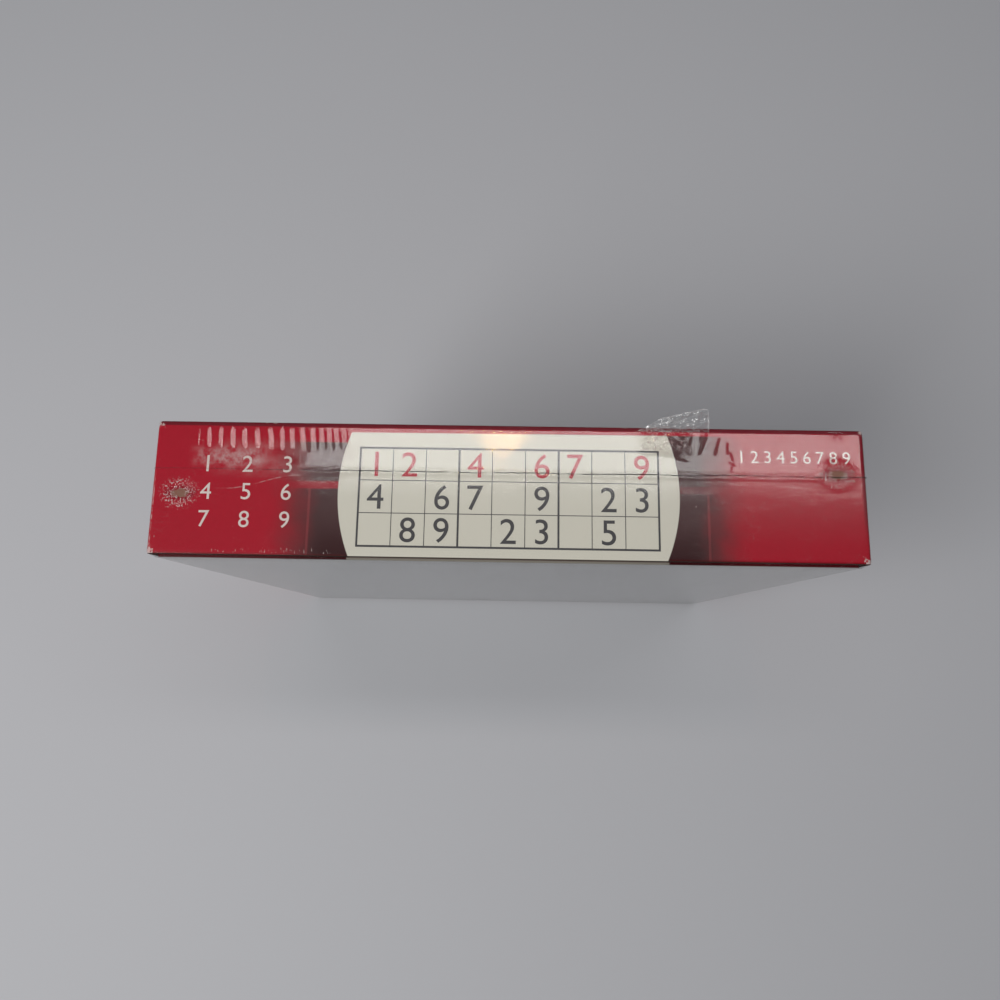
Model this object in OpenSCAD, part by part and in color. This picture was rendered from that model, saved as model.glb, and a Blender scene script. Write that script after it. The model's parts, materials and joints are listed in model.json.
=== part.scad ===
// Sudoku game in a sealed two-piece box: lid and base trays of papered grey
// board, shrink film, folded card insert, gridded board with 81 loose tiles,
// stapled booklet and rules leaflet.
// Every piece is drawn with the box lying on its base, lid up, and is then
// stood on one side wall: +X runs along the upper wall, +Y from the base
// underside to the lid top, +Z up. The origin is the middle of the footprint.

/* [Closed box] */
// Width over the film, left to right
box_w = 267; // [230:1:320]
// Depth over the film, from the upper wall to the wall that it stands on
box_d = 267; // [230:1:320]
// Thickness over the film, base underside to lid top
box_t = 52; // [46:1:80]

/* [Carton] */
// Thickness of the grey board in both trays
carton_t = 1.8; // [1.2:0.1:2.4]
// Thickness of the pasted wrap paper
wrap_t = 0.3; // [0.25:0.05:0.5]
// Width of wrap paper turned in over each rim
turn_in = 15; // [8:1:30]
// Outside radius of the upright corners
corner_r = 1.5; // [1:0.1:3]
// Clearance between lid and base on each side
lid_fit = 0.6; // [0.3:0.1:1.2]
// Strip of the base that shows below the lid's rim
base_reveal = 1; // [0.5:0.1:6]
// Leg of the paper stays that tie each corner
stay_leg = 12; // [6:1:25]
// Thickness of the paper stays
stay_t = 0.15; // [0.1:0.01:0.2]
// Bare board left above and below each stay
stay_margin = 2; // [1:0.5:8]

/* [Shrink film] */
// Thickness of the film
film_t = 0.1; // [0.05:0.01:0.2]
// Air between the film and the box
film_gap = 0.1; // [0.1:0.05:0.5]
// Height of the seal seam above the underside
seal_h = 33.5; // [20:0.5:40]
// How far the seal bead stands out from the film
bead_t = 0.4; // [0.2:0.05:1]
// Height of the seal bead
bead_h = 0.7; // [0.4:0.1:1.5]
// Radius of the vent holes
vent_r = 2; // [1:0.1:4]
// Distance of the vents from the side walls
vent_inset = 11; // [8:0.5:30]
// Drop of the left vent below the seal
vent_drop = 9.5; // [6:0.5:15]
// Rise of the right vent above the seal
vent_rise = 1; // [0:0.5:6]
// Width of the loose tail of film
tail_w = 24; // [10:1:40]
// How far the tail stands up from the upper wall
tail_h = 9; // [4:0.5:14]
// Run of the tail across the upper wall
tail_run = 8; // [4:0.5:10]
// Distance of the tail from the middle of the box
tail_x = 61; // [0:1:90]

/* [Card insert] */
// Thickness of the folded card
insert_t = 0.8; // [0.5:0.1:1.5]
// Clearance between the insert and the base on each side
insert_fit = 0.4; // [0.2:0.1:1]
// Width of the well between the two ledges
well_w = 162; // [120:1:180]
// Radius of the finger notches in the ledges
notch_r = 14; // [8:1:18]
// Depth of the finger notches
notch_h = 16; // [8:1:22]

/* [Playing board] */
// Thickness of the board panel
core_t = 2; // [1.5:0.1:4]
// Thickness of the printed face sheet
face_t = 0.2; // [0.1:0.05:0.4]
// Thickness of the liner sheet underneath
liner_t = 0.2; // [0.1:0.05:0.4]
// Clearance between the board and the base on each side
board_fit = 1.4; // [0.5:0.1:4]
// Corner radius of the board
board_r = 3; // [1:0.5:8]
// Height of the raised grid frame
frame_t = 4; // [2:0.1:5]
// Width of the frame's outer rim
rim_w = 5; // [3:0.5:10]
// Width of the bars between the blocks
bar_w = 4; // [2:0.5:8]
// Corner radius of the frame's windows
window_r = 1.5; // [0.5:0.1:3]
// Bevel on the frame's upper edges
frame_bevel = 0.6; // [0.2:0.1:0.9]

/* [Number tiles] */
// Thickness of a tile
tile_t = 5; // [3:0.1:7]
// Gap left between neighbouring tiles
tile_gap = 0.5; // [0.3:0.05:1.5]
// Corner radius of a tile
tile_r = 2; // [1:0.1:5]
// Bevel round the top of a tile
tile_bevel = 0.7; // [0.2:0.1:1.2]
// Air between the tiles and the lid
headroom = 0.5; // [0.2:0.1:2]

/* [Booklet and leaflet] */
// Thickness of the page block
pages_t = 2.6; // [1:0.1:5]
// Thickness of the booklet cover
cover_t = 0.25; // [0.15:0.05:0.5]
// Room beside the booklet in the well
booklet_fit = 7; // [3:0.5:20]
// Room beyond the ends of the booklet, taken together
booklet_slack = 45; // [10:1:80]
// Setback of the pages inside the cover
page_inset = 0.5; // [0:0.1:2]
// Radius of the staple wire
wire_r = 0.3; // [0.2:0.05:0.5]
// Length of a staple's crown
crown_l = 12; // [8:0.5:16]
// Length of a staple's legs through the fold
leg_l = 4; // [2:0.5:6]
// Distance of the staples from the booklet's ends
staple_inset = 50; // [20:1:80]
// Clearance round the staple wire
wire_fit = 0.05; // [0.02:0.01:0.1]
// Setback of the leaflet from the booklet's sides
leaflet_inset = 18; // [4:1:40]
// How much shorter the leaflet is than the booklet
leaflet_short = 12; // [2:1:60]
// Thickness of the leaflet's paper
sheet_t = 0.15; // [0.1:0.05:0.3]
// Air between the leaves of the leaflet
fold_gap = 0.15; // [0.1:0.05:0.4]
// Number of leaves in the folded leaflet
leaves = 4; // [2:1:8]
// Gap where loose papers rest on the wall below
rest_gap = 0.3; // [0.2:0.1:1]

/* [Hidden] */
$fn = 48;
// overrun of every cut
over = 1;

// cells along a block's side, and blocks along the board's side
cells = 3;
// bends of the film tail, as shares of its height and its run
tail_shares = [[0, 0], [0.45, 0.75], [0.7, 0.6], [1, 1]];

// outside of the lid's paper, inside of its rim, outside of the base's paper
film_in = film_t + film_gap;
lid_w = box_w - 2 * film_in;
lid_d = box_d - 2 * film_in;
rim_t = 2 * wrap_t + carton_t;
base_w = lid_w - 2 * (rim_t + lid_fit);
base_d = lid_d - 2 * (rim_t + lid_fit);
clear_w = base_w - 2 * rim_t;
clear_d = base_d - 2 * rim_t;

// heights above the underside of the film
base_z = film_in;
floor_z = base_z + wrap_t + carton_t;
lid_top_z = box_t - film_in;
panel_z = lid_top_z - wrap_t - carton_t;
lid_rim_z = base_z + base_reveal;
base_h = panel_z - base_z;
lid_h = lid_top_z - lid_rim_z;
tile_z = panel_z - headroom - tile_t;
face_z = tile_z - face_t;
core_z = face_z - core_t;
ledge_z = core_z - liner_t;
paper_z = floor_z + insert_t;

// insert, board, windows, cells and tiles
insert_w = clear_w - 2 * insert_fit;
insert_d = clear_d - 2 * insert_fit;
ledge_h = ledge_z - floor_z;
ledge_w = (insert_w - well_w) / 2;
board_w = clear_w - 2 * board_fit;
board_d = clear_d - 2 * board_fit;
window_w = (board_w - 2 * rim_w - (cells - 1) * bar_w) / cells;
window_d = (board_d - 2 * rim_w - (cells - 1) * bar_w) / cells;
cell_w = window_w / cells;
cell_d = window_d / cells;

// booklet and leaflet
booklet_w = well_w - 2 * booklet_fit;
booklet_d = insert_d - booklet_slack;
booklet_t = pages_t + 2 * cover_t;
booklet_y = clear_d / 2 - rest_gap - booklet_d / 2;
leaflet_w = booklet_w - 2 * leaflet_inset;
leaflet_d = booklet_d - leaflet_short;
leaflet_z = paper_z + booklet_t;
leaflet_y = clear_d / 2 - rest_gap - leaflet_d / 2;

// position of a row or column of cells, counted from 0, about the middle
function block_at(i, window) = (i - (cells - 1) / 2) * (window + bar_w);
function cell_at(i, window) =
    block_at(floor(i / cells), window)
    + (i % cells - (cells - 1) / 2) * window / cells;
// number in a cell of the solved grid: each row shifts the one above it
function number_at(row, col) =
    (row * cells + floor(row / cells) + col) % (cells * cells) + 1;

// stands a piece drawn lying down on the wall opposite the upper wall
module stand() {
    translate([0, -box_t / 2, box_d / 2]) rotate([-90, 0, 0]) children();
}

// turns a tray over, mouth down, to its place as the lid
module as_lid() {
    stand() translate([0, 0, lid_top_z]) mirror([0, 0, 1]) children();
}

module as_base() {
    stand() translate([0, 0, base_z]) children();
}

// rectangle about the origin with round corners
module rounded(w, d, r) {
    square([w - 2 * r, d], center = true);
    square([w, d - 2 * r], center = true);
    for (sx = [-1, 1], sy = [-1, 1])
        translate([sx * (w / 2 - r), sy * (d / 2 - r)]) circle(r);
}

// profile drawn in X and Z, run along Y about the origin
module along_y(length) {
    rotate([90, 0, 0]) linear_extrude(length, center = true) children();
}

module along_x(length) {
    rotate([0, 0, 90]) along_y(length) children();
}

// side view of a block whose upper edges are bevelled
module bevel_side(w, t, b) {
    polygon([[-w / 2, 0], [w / 2, 0], [w / 2, t - b], [w / 2 - b, t],
        [b - w / 2, t], [-w / 2, t - b]]);
}

// block with round corners and a bevel round its top
module bevelled_block(w, d, t, r, b) {
    intersection() {
        linear_extrude(t) rounded(w, d, r);
        along_y(d) bevel_side(w, t, b);
        along_x(w) bevel_side(d, t, b);
    }
}

// side view of a window whose mouth flares outward
module flare_side(w, t, b) {
    polygon([[-w / 2, -over], [w / 2, -over], [w / 2, t - b],
        [w / 2 + b + over, t + over], [-w / 2 - b - over, t + over],
        [-w / 2, t - b]]);
}

// cut for a window through a plate, flared at its upper face
module window_cut(w, d, t, r, b) {
    translate([0, 0, -over]) linear_extrude(t + over) rounded(w, d, r);
    intersection() {
        translate([0, 0, t - b])
            linear_extrude(b + over) square([w + 2 * (b + over), d + 2 * (b + over)], center = true);
        along_y(d + 2 * (b + over)) flare_side(w, t, b);
        along_x(w + 2 * (b + over)) flare_side(d, t, b);
    }
}

// board of a tray, mouth up, given the size over its paper
module tray_core(w, d, h) {
    translate([0, 0, wrap_t]) linear_extrude(h - 2 * wrap_t)
        rounded(w - 2 * wrap_t, d - 2 * wrap_t, corner_r - wrap_t);
}

module tray_shell(w, d, h) {
    inner = 2 * (wrap_t + carton_t);
    difference() {
        tray_core(w, d, h);
        translate([0, 0, wrap_t + carton_t]) linear_extrude(h)
            square([w - inner, d - inner], center = true);
    }
}

// paper stays round the four upright corners of a tray's board
module tray_stays(w, d, h) {
    core_w = w - 2 * wrap_t;
    core_d = d - 2 * wrap_t;
    r = corner_r - wrap_t;
    translate([0, 0, wrap_t + stay_margin])
        linear_extrude(h - 2 * (wrap_t + stay_margin)) intersection() {
            difference() {
                rounded(core_w + 2 * stay_t, core_d + 2 * stay_t, r + stay_t);
                rounded(core_w, core_d, r);
            }
            for (sx = [-1, 1], sy = [-1, 1])
                translate([sx * core_w / 2, sy * core_d / 2])
                    square(2 * stay_leg, center = true);
        }
}

// paper over a tray: bottom, walls, rim and the margin turned in
module tray_wrap(w, d, h) {
    inner = 2 * (wrap_t + carton_t);
    difference() {
        linear_extrude(h) rounded(w, d, corner_r);
        difference() {
            tray_core(w, d, h);
            translate([0, 0, h - turn_in]) linear_extrude(turn_in)
                square([w - inner, d - inner], center = true);
        }
        translate([0, 0, wrap_t + carton_t]) linear_extrude(h)
            square([w - 2 * rim_t, d - 2 * rim_t], center = true);
        tray_stays(w, d, h);
    }
}

// side view of the film: straight walls that draw in to the base's edge
module film_side(w, low, high) {
    foot = w / 2 - (lid_w - base_w) / 2;
    polygon([[-foot, low], [foot, low], [w / 2, low + base_reveal], [w / 2, high],
        [-w / 2, high], [-w / 2, low + base_reveal]]);
}

module film_block(inset) {
    intersection() {
        along_y(box_d - 2 * inset) film_side(box_w - 2 * inset, inset, box_t - inset);
        along_x(box_w - 2 * inset) film_side(box_d - 2 * inset, inset, box_t - inset);
    }
}

// slice of the film envelope from one height to another
module film_slice(low, high) {
    difference() {
        intersection() {
            film_block(0);
            translate([0, 0, low]) linear_extrude(high - low)
                square([box_w, box_d], center = true);
        }
        film_block(film_t);
    }
}

// vents in the upper wall: left below the seal, right across it
module film_vents() {
    for (side = [-1, 1])
        translate([side * (box_w / 2 - vent_inset), -box_d / 2 + film_in / 2,
                seal_h + (side < 0 ? -vent_drop : vent_rise)])
            rotate([90, 0, 0]) cylinder(r = vent_r, h = bead_t + over);
}

// loose tail of film left beyond the seal on the upper wall
module film_tail() {
    bends = [for (s = tail_shares) [s[0] * tail_h, s[1] * tail_run]];
    edge = [for (i = [len(bends) - 1 : -1 : 0]) bends[i] + [0, film_t]];
    translate([tail_x, film_t - box_d / 2, box_t - tail_run - film_in])
        along_x(tail_w) mirror([1, 0]) polygon(concat(bends, edge));
}

module lid_shell() {
    color("tan") as_lid() tray_shell(lid_w, lid_d, lid_h);
}

module lid_wrap() {
    color("firebrick") as_lid() tray_wrap(lid_w, lid_d, lid_h);
}

module lid_corner_stays() {
    color("wheat") as_lid() tray_stays(lid_w, lid_d, lid_h);
}

module base_shell() {
    color("tan") as_base() tray_shell(base_w, base_d, base_h);
}

module base_wrap() {
    color("ivory") as_base() tray_wrap(base_w, base_d, base_h);
}

module base_corner_stays() {
    color("wheat") as_base() tray_stays(base_w, base_d, base_h);
}

module film_upper() {
    color([0.85, 0.9, 0.95, 0.3]) stand() {
        difference() {
            film_slice(seal_h, box_t);
            film_vents();
        }
        film_tail();
    }
}

// lower film, its seal bead on the three walls away from the fold
module film_lower() {
    color([0.85, 0.9, 0.95, 0.3]) stand() difference() {
        union() {
            film_slice(0, seal_h);
            translate([0, 0, seal_h - bead_h]) linear_extrude(bead_h) difference() {
                translate([-box_w / 2 - bead_t, -box_d / 2 - bead_t])
                    square([box_w + 2 * bead_t, box_d + bead_t]);
                translate([film_t - box_w / 2, film_t - box_d / 2])
                    square([box_w - 2 * film_t, box_d]);
            }
        }
        film_vents();
    }
}

// one card folded up, over and down into two hollow ledges and a well
module card_insert() {
    color("gainsboro") stand() difference() {
        translate([0, 0, floor_z]) along_y(insert_d) difference() {
            translate([-insert_w / 2, 0]) square([insert_w, ledge_h]);
            translate([-well_w / 2, insert_t]) square([well_w, ledge_h]);
            for (side = [-1, 1])
                translate([side * (insert_w - ledge_w) / 2, (ledge_h - insert_t - over) / 2])
                    square([ledge_w - 2 * insert_t, ledge_h - insert_t + over], center = true);
        }
        for (side = [-1, 1])
            translate([side * well_w / 2, 0, ledge_z - notch_h])
                cylinder(r = notch_r, h = notch_h + over);
    }
}

module board_liner() {
    color("dimgray") stand() translate([0, 0, ledge_z])
        linear_extrude(liner_t) rounded(board_w, board_d, board_r);
}

module board_core() {
    color("tan") stand() translate([0, 0, core_z])
        linear_extrude(core_t) rounded(board_w, board_d, board_r);
}

module board_face() {
    color("ivory") stand() translate([0, 0, face_z])
        linear_extrude(face_t) rounded(board_w, board_d, board_r);
}

// raised frame with one window for each block of cells
module grid_frame() {
    color("darkred") stand() translate([0, 0, tile_z]) difference() {
        bevelled_block(board_w, board_d, frame_t, board_r, frame_bevel);
        for (i = [0 : cells - 1], j = [0 : cells - 1])
            translate([block_at(i, window_w), block_at(j, window_d), 0])
                window_cut(window_w, window_d, frame_t, window_r, frame_bevel);
    }
}

module tile() {
    bevelled_block(cell_w - tile_gap, cell_d - tile_gap, tile_t, tile_r, tile_bevel);
}

// the nine tiles of one number, each in its cell of the solved grid
module tiles(number) {
    last = cells * cells - 1;
    color("ivory") stand() for (row = [0 : last], col = [0 : last])
        if (number_at(row, col) == number)
            translate([cell_at(col, window_w), -cell_at(row, window_d), tile_z]) tile();
}

// end view of a folded sheet block: round at the fold, square at the fore edge
module fold_side(w, t) {
    translate([t / 2, 0]) circle(t / 2);
    translate([t / 2, -t / 2]) square([w - t / 2, t]);
}

// brings a booklet piece drawn from its fold to its place in the well
module in_well() {
    stand() translate([-booklet_w / 2, booklet_y, paper_z + booklet_t / 2]) children();
}

// two staples through the fold, or the holes that they need
module staple_pair(r) {
    for (end = [-1, 1]) translate([-wire_r - wire_fit, end * (booklet_d / 2 - staple_inset), 0]) {
        rotate([90, 0, 0]) cylinder(r = r, h = crown_l, center = true);
        for (leg = [-1, 1]) translate([0, leg * (crown_l / 2 - wire_r), 0])
            rotate([0, 90, 0]) cylinder(r = r, h = leg_l);
    }
}

module booklet_cover() {
    color("firebrick") in_well() difference() {
        along_y(booklet_d) fold_side(booklet_w, booklet_t);
        along_y(booklet_d + 2 * over) translate([cover_t, 0]) fold_side(booklet_w, pages_t);
        staple_pair(wire_r + wire_fit);
    }
}

module booklet_pages() {
    color("white") in_well() difference() {
        along_y(booklet_d - 2 * page_inset)
            translate([cover_t, 0]) fold_side(booklet_w - cover_t - page_inset, pages_t);
        staple_pair(wire_r + wire_fit);
    }
}

module booklet_staples() {
    color("silver") in_well() staple_pair(wire_r);
}

// one sheet folded to and fro
module rules_leaflet() {
    pitch = sheet_t + fold_gap;
    color("white") stand() translate([0, leaflet_y, leaflet_z]) along_y(leaflet_d) {
        for (i = [0 : leaves - 1])
            translate([-leaflet_w / 2, i * pitch]) square([leaflet_w, sheet_t]);
        for (i = [0 : leaves - 2])
            translate([i % 2 == 0 ? leaflet_w / 2 - sheet_t : -leaflet_w / 2, i * pitch])
                square([sheet_t, pitch + sheet_t]);
    }
}

lid_shell();
lid_wrap();
lid_corner_stays();
film_upper();
base_shell();
base_wrap();
base_corner_stays();
film_lower();
card_insert();
board_core();
board_face();
board_liner();
grid_frame();
tiles(1);  // tiles_1
tiles(2);  // tiles_2
tiles(3);  // tiles_3
tiles(4);  // tiles_4
tiles(5);  // tiles_5
tiles(6);  // tiles_6
tiles(7);  // tiles_7
tiles(8);  // tiles_8
tiles(9);  // tiles_9
booklet_cover();
booklet_pages();
booklet_staples();
rules_leaflet();
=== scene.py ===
"""Looks of a boxed sudoku game: papered lid and base, shrink film, board, tiles and papers.

Sizes are in millimetres with the box lying on its base, lid up, unless a name says otherwise.
BoxPlan.stand turns such points to the stored frame, in metres, where the box stands on one wall.
On the upper wall x or u runs along the wall from its middle, and w is the height above the underside.
"""

import json
import logging
import math
from collections.abc import Callable, Sequence
from dataclasses import dataclass
from enum import Enum
from functools import cached_property, reduce

import bpy
import numpy as np
from mathutils import Matrix, Vector

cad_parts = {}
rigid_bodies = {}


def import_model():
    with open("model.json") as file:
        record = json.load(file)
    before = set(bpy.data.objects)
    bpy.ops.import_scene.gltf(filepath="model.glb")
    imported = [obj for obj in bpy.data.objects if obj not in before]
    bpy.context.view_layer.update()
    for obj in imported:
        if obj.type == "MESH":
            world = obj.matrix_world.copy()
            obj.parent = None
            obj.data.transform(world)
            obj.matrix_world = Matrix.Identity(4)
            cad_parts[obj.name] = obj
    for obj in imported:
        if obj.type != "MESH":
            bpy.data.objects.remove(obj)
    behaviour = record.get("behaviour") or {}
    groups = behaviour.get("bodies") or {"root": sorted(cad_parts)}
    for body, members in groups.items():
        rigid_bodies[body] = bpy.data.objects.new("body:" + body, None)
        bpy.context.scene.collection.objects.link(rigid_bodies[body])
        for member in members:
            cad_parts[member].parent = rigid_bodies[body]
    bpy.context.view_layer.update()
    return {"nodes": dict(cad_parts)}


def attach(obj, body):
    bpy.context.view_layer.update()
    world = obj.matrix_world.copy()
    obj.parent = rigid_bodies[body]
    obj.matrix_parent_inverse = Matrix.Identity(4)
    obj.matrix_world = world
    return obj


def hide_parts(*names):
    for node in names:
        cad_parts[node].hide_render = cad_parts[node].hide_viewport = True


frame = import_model()

MM = 0.001
LOG = logging.getLogger("sudoku_box")
Colour = Spot = tuple[float, float, float]
Faces = list[list[int]]
Points = np.ndarray
Profile = list[tuple[float, float]]
Material = bpy.types.Material
Object = bpy.types.Object
Socket = bpy.types.NodeSocket

# Middle of each vent in the film of the upper wall.
VENTS = ((-122.5, 24.0), (122.5, 34.5))
# Both ends and half the width of each short pleat beside the film's tail.
PLEATS = ((68.5, 48.2, 67.7, 45.1, 0.5), (72.4, 48.9, 71.6, 46.5, 0.45), (74.1, 49.0, 71.4, 42.2, 0.7),
          (78.7, 47.6, 77.3, 41.8, 0.55), (81.9, 46.0, 81.7, 42.3, 0.45), (82.9, 42.3, 83.9, 39.6, 0.45),
          (82.0, 38.8, 84.6, 37.6, 0.4), (83.5, 37.6, 83.0, 35.3, 0.3), (63.2, 39.9, 66.2, 39.0, 0.6),
          (60.0, 47.0, 64.0, 45.5, 0.7), (56.5, 48.5, 61.0, 48.0, 0.4), (64.0, 48.8, 66.0, 47.5, 0.4))


class Wall(Enum):
    """Faces of the closed box that carry print."""

    UPPER = "upper wall, seen in the photo"
    LID_TOP = "outside of the lid's panel"


class Sheet(Enum):
    """Papers that carry the red print."""

    LID = "lid wrap"
    BASE = "base wrap"
    COVER = "booklet cover"


@dataclass(frozen=True)
class BoxPlan:
    """Sizes of the closed box and of the board's windows."""

    width: float = 267.0
    depth: float = 267.0
    thick: float = 52.0
    film_in: float = 0.2
    paper: float = 0.3
    board: float = 1.8
    turn_in: float = 15.0
    corner: float = 1.5
    lid_fit: float = 0.6
    reveal: float = 1.0
    seal: float = 33.5
    window: float = 78.3333
    bar: float = 4.0

    @property
    def rim(self) -> float:
        """Thickness of a papered rim."""
        return 2 * self.paper + self.board

    @property
    def lid_half(self) -> float:
        """Half the lid's width over its paper."""
        return self.width / 2 - self.film_in

    @property
    def base_half(self) -> float:
        """Half the base's width over its paper."""
        return self.lid_half - self.rim - self.lid_fit

    @property
    def lid_top(self) -> float:
        """Height of the lid's top."""
        return self.thick - self.film_in

    @property
    def lid_rim(self) -> float:
        """Height of the lid's rim."""
        return self.film_in + self.reveal

    @property
    def base_rim(self) -> float:
        """Height of the base's rim, where the lid's panel rests."""
        return self.lid_top - self.paper - self.board

    def stand(self, points: Points) -> Points:
        """Stands rows of the lying box's x, y and z on its side wall, in metres."""
        x, y, z = np.asarray(points, float).T
        return np.column_stack((x, z - self.thick / 2, self.depth / 2 - y)) * MM


PLAN = BoxPlan()


def math_method(operation: str, swap: bool = False) -> Callable[..., "Value"]:
    """Method of Value that adds one Math node.

    Args:
        operation: Name of the node's operation.
        swap: True puts the value itself second.

    Returns:
        The method.
    """

    def act(self: "Value", *others: object) -> "Value":
        """Adds the node.

        Args:
            others: The other terms, if any.

        Returns:
            The node's result.
        """
        terms = (*others, self) if swap else (self, *others)
        sockets = {f"_{i}": term for i, term in enumerate(terms)}
        made = self.pen.node("ShaderNodeMath", {"operation": operation}, **sockets)
        return Value(self.pen, made.outputs[0])

    return act


class Value:
    """A shader socket that can be used in sums."""

    def __init__(self, pen: "Pen", socket: Socket) -> None:
        """Keeps the socket and the pen that adds further nodes."""
        self.pen = pen
        self.socket = socket

    __add__ = __radd__ = math_method("ADD")
    __sub__ = math_method("SUBTRACT")
    __rsub__ = math_method("SUBTRACT", swap=True)
    __mul__ = __rmul__ = math_method("MULTIPLY")
    __truediv__ = math_method("DIVIDE")
    __pow__ = math_method("POWER")
    __abs__ = math_method("ABSOLUTE")
    low = math_method("MINIMUM")
    high = math_method("MAXIMUM")
    root = math_method("SQRT")
    fract = math_method("FRACT")

    def ease(self, start: float, end: float) -> "Value":
        """Smooth step.

        Args:
            start: Where the result is 0.
            end: Where the result is 1; it may lie below start.

        Returns:
            A value from 0 to 1.
        """
        made = self.pen.node("ShaderNodeMapRange", {"interpolation_type": "SMOOTHSTEP"},
                             Value=self, From_Min=start, From_Max=end)
        return Value(self.pen, made.outputs[0])

    def band(self, middle: float, half: float, soft: float) -> "Value":
        """1 within half a width of the middle, falling to 0 over a soft margin."""
        return abs(self - middle).ease(half + soft, half)


def most(masks: Sequence[Value]) -> Value:
    """Largest of several masks."""
    return reduce(Value.high, masks)


def dim(colour: Colour, share: float) -> Colour:
    """The colour at a share of its brightness."""
    return tuple(c * share for c in colour)


class Writer:
    """Adds nodes to one tree."""

    def __init__(self, tree: bpy.types.NodeTree) -> None:
        """Keeps the tree."""
        self.tree = tree

    def feed(self, socket: Socket, value: object) -> None:
        """Links or sets a socket.

        Args:
            socket: Input to feed.
            value: Value, socket, number, text or colour.
        """
        if isinstance(value, Value):
            value = value.socket
        if isinstance(value, Socket):
            self.tree.links.new(value, socket)
        elif socket.type == "RGBA" and len(value) == 3:
            socket.default_value = (*value, 1.0)
        else:
            socket.default_value = value

    def node(self, kind: str, settings: dict | None = None, **sockets: object) -> bpy.types.Node:
        """Adds any node.

        Args:
            kind: Node type.
            settings: Properties, set first.
            sockets: Values by socket name with _ for spaces, or by place as _0, _1 and so on.

        Returns:
            The new node.
        """
        made = self.tree.nodes.new(kind)
        for key, value in (settings or {}).items():
            setattr(made, key, value)
        for key, value in sockets.items():
            place = int(key[1:]) if key[0] == "_" else key.replace("_", " ")
            self.feed(made.inputs[place], value)
        return made


class Pen(Writer):
    """Writes the node tree of one material."""

    def __init__(self, name: str) -> None:
        """Starts an empty material.

        Args:
            name: Material name.
        """
        self.material = bpy.data.materials.new(name)
        self.material.use_nodes = True
        super().__init__(self.material.node_tree)
        self.tree.nodes.clear()

    @cached_property
    def where(self) -> Socket:
        """Object coordinates in millimetres."""
        raw = self.node("ShaderNodeTexCoord").outputs["Object"]
        return self.node("ShaderNodeVectorMath", {"operation": "SCALE"}, Vector=raw, Scale=1 / MM).outputs[0]

    @cached_property
    def axes(self) -> tuple[Value, Value, Value]:
        """X, Y and Z of the stored frame in millimetres."""
        split = self.node("ShaderNodeSeparateXYZ", None, Vector=self.where)
        return tuple(Value(self, out) for out in split.outputs)

    @cached_property
    def w(self) -> Value:
        """Height above the underside in millimetres."""
        return self.axes[1] + PLAN.thick / 2

    def stretched(self, scale: Spot) -> Socket:
        """Object coordinates multiplied by three factors."""
        made = self.node("ShaderNodeVectorMath", {"operation": "MULTIPLY"}, _0=self.where, _1=scale)
        return made.outputs[0]

    def noise(self, size: float, detail: float = 2.0, rough: float = 0.5, at: Socket | None = None) -> Value:
        """Noise from 0 to 1.

        Args:
            size: Size of its features in millimetres.
            detail: Octaves.
            rough: Weight of the finer octaves.
            at: Coordinates, object coordinates if left out.

        Returns:
            The noise value.
        """
        made = self.node("ShaderNodeTexNoise", None, Vector=at or self.where, Scale=1 / size,
                         Detail=detail, Roughness=rough)
        return Value(self, made.outputs[0])

    def cracks(self, size: float, at: Socket) -> Value:
        """Distance to the edges of scattered cells of the given size, at the given coordinates."""
        made = self.node("ShaderNodeTexVoronoi", {"feature": "DISTANCE_TO_EDGE"}, Vector=at, Scale=1 / size)
        return Value(self, made.outputs[0])

    def mix(self, share: object, first: object, second: object) -> Value:
        """Colour made of two, with the given share of the second."""
        made = self.node("ShaderNodeMix", {"data_type": "RGBA"}, _0=share, _6=first, _7=second)
        return Value(self, made.outputs[2])

    def bump(self, height: Value, depth: float, strength: float) -> Socket:
        """Normal from a height, whose 1 is the given depth in millimetres."""
        made = self.node("ShaderNodeBump", None, Strength=strength, Distance=depth * MM, Height=height)
        return made.outputs[0]

    def surface(self, **sockets: object) -> Socket:
        """Principled surface with the given inputs."""
        return self.node("ShaderNodeBsdfPrincipled", None, **sockets).outputs[0]

    def clear(self) -> Socket:
        """Surface that lets everything through."""
        return self.node("ShaderNodeBsdfTransparent", None, Color=(1.0, 1.0, 1.0)).outputs[0]

    def blend(self, share: Value, first: Socket, second: Socket) -> Socket:
        """Surface made of two, with the given share of the second."""
        return self.node("ShaderNodeMixShader", None, _0=share, _1=first, _2=second).outputs[0]

    def close(self, shader: Socket) -> Material:
        """Ends the tree with its surface and returns the material."""
        self.node("ShaderNodeOutputMaterial", None, Surface=shader)
        return self.material


@dataclass(frozen=True)
class Finish:
    """A surface finish."""

    name: str

    @cached_property
    def pen(self) -> Pen:
        """Pen that writes the finish's material."""
        return Pen(self.name)

    @property
    def shader(self) -> Socket:
        """Surface of the finish, made of new nodes."""
        raise NotImplementedError

    def make(self) -> Material:
        """The finished material."""
        return self.pen.close(self.shader)


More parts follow.
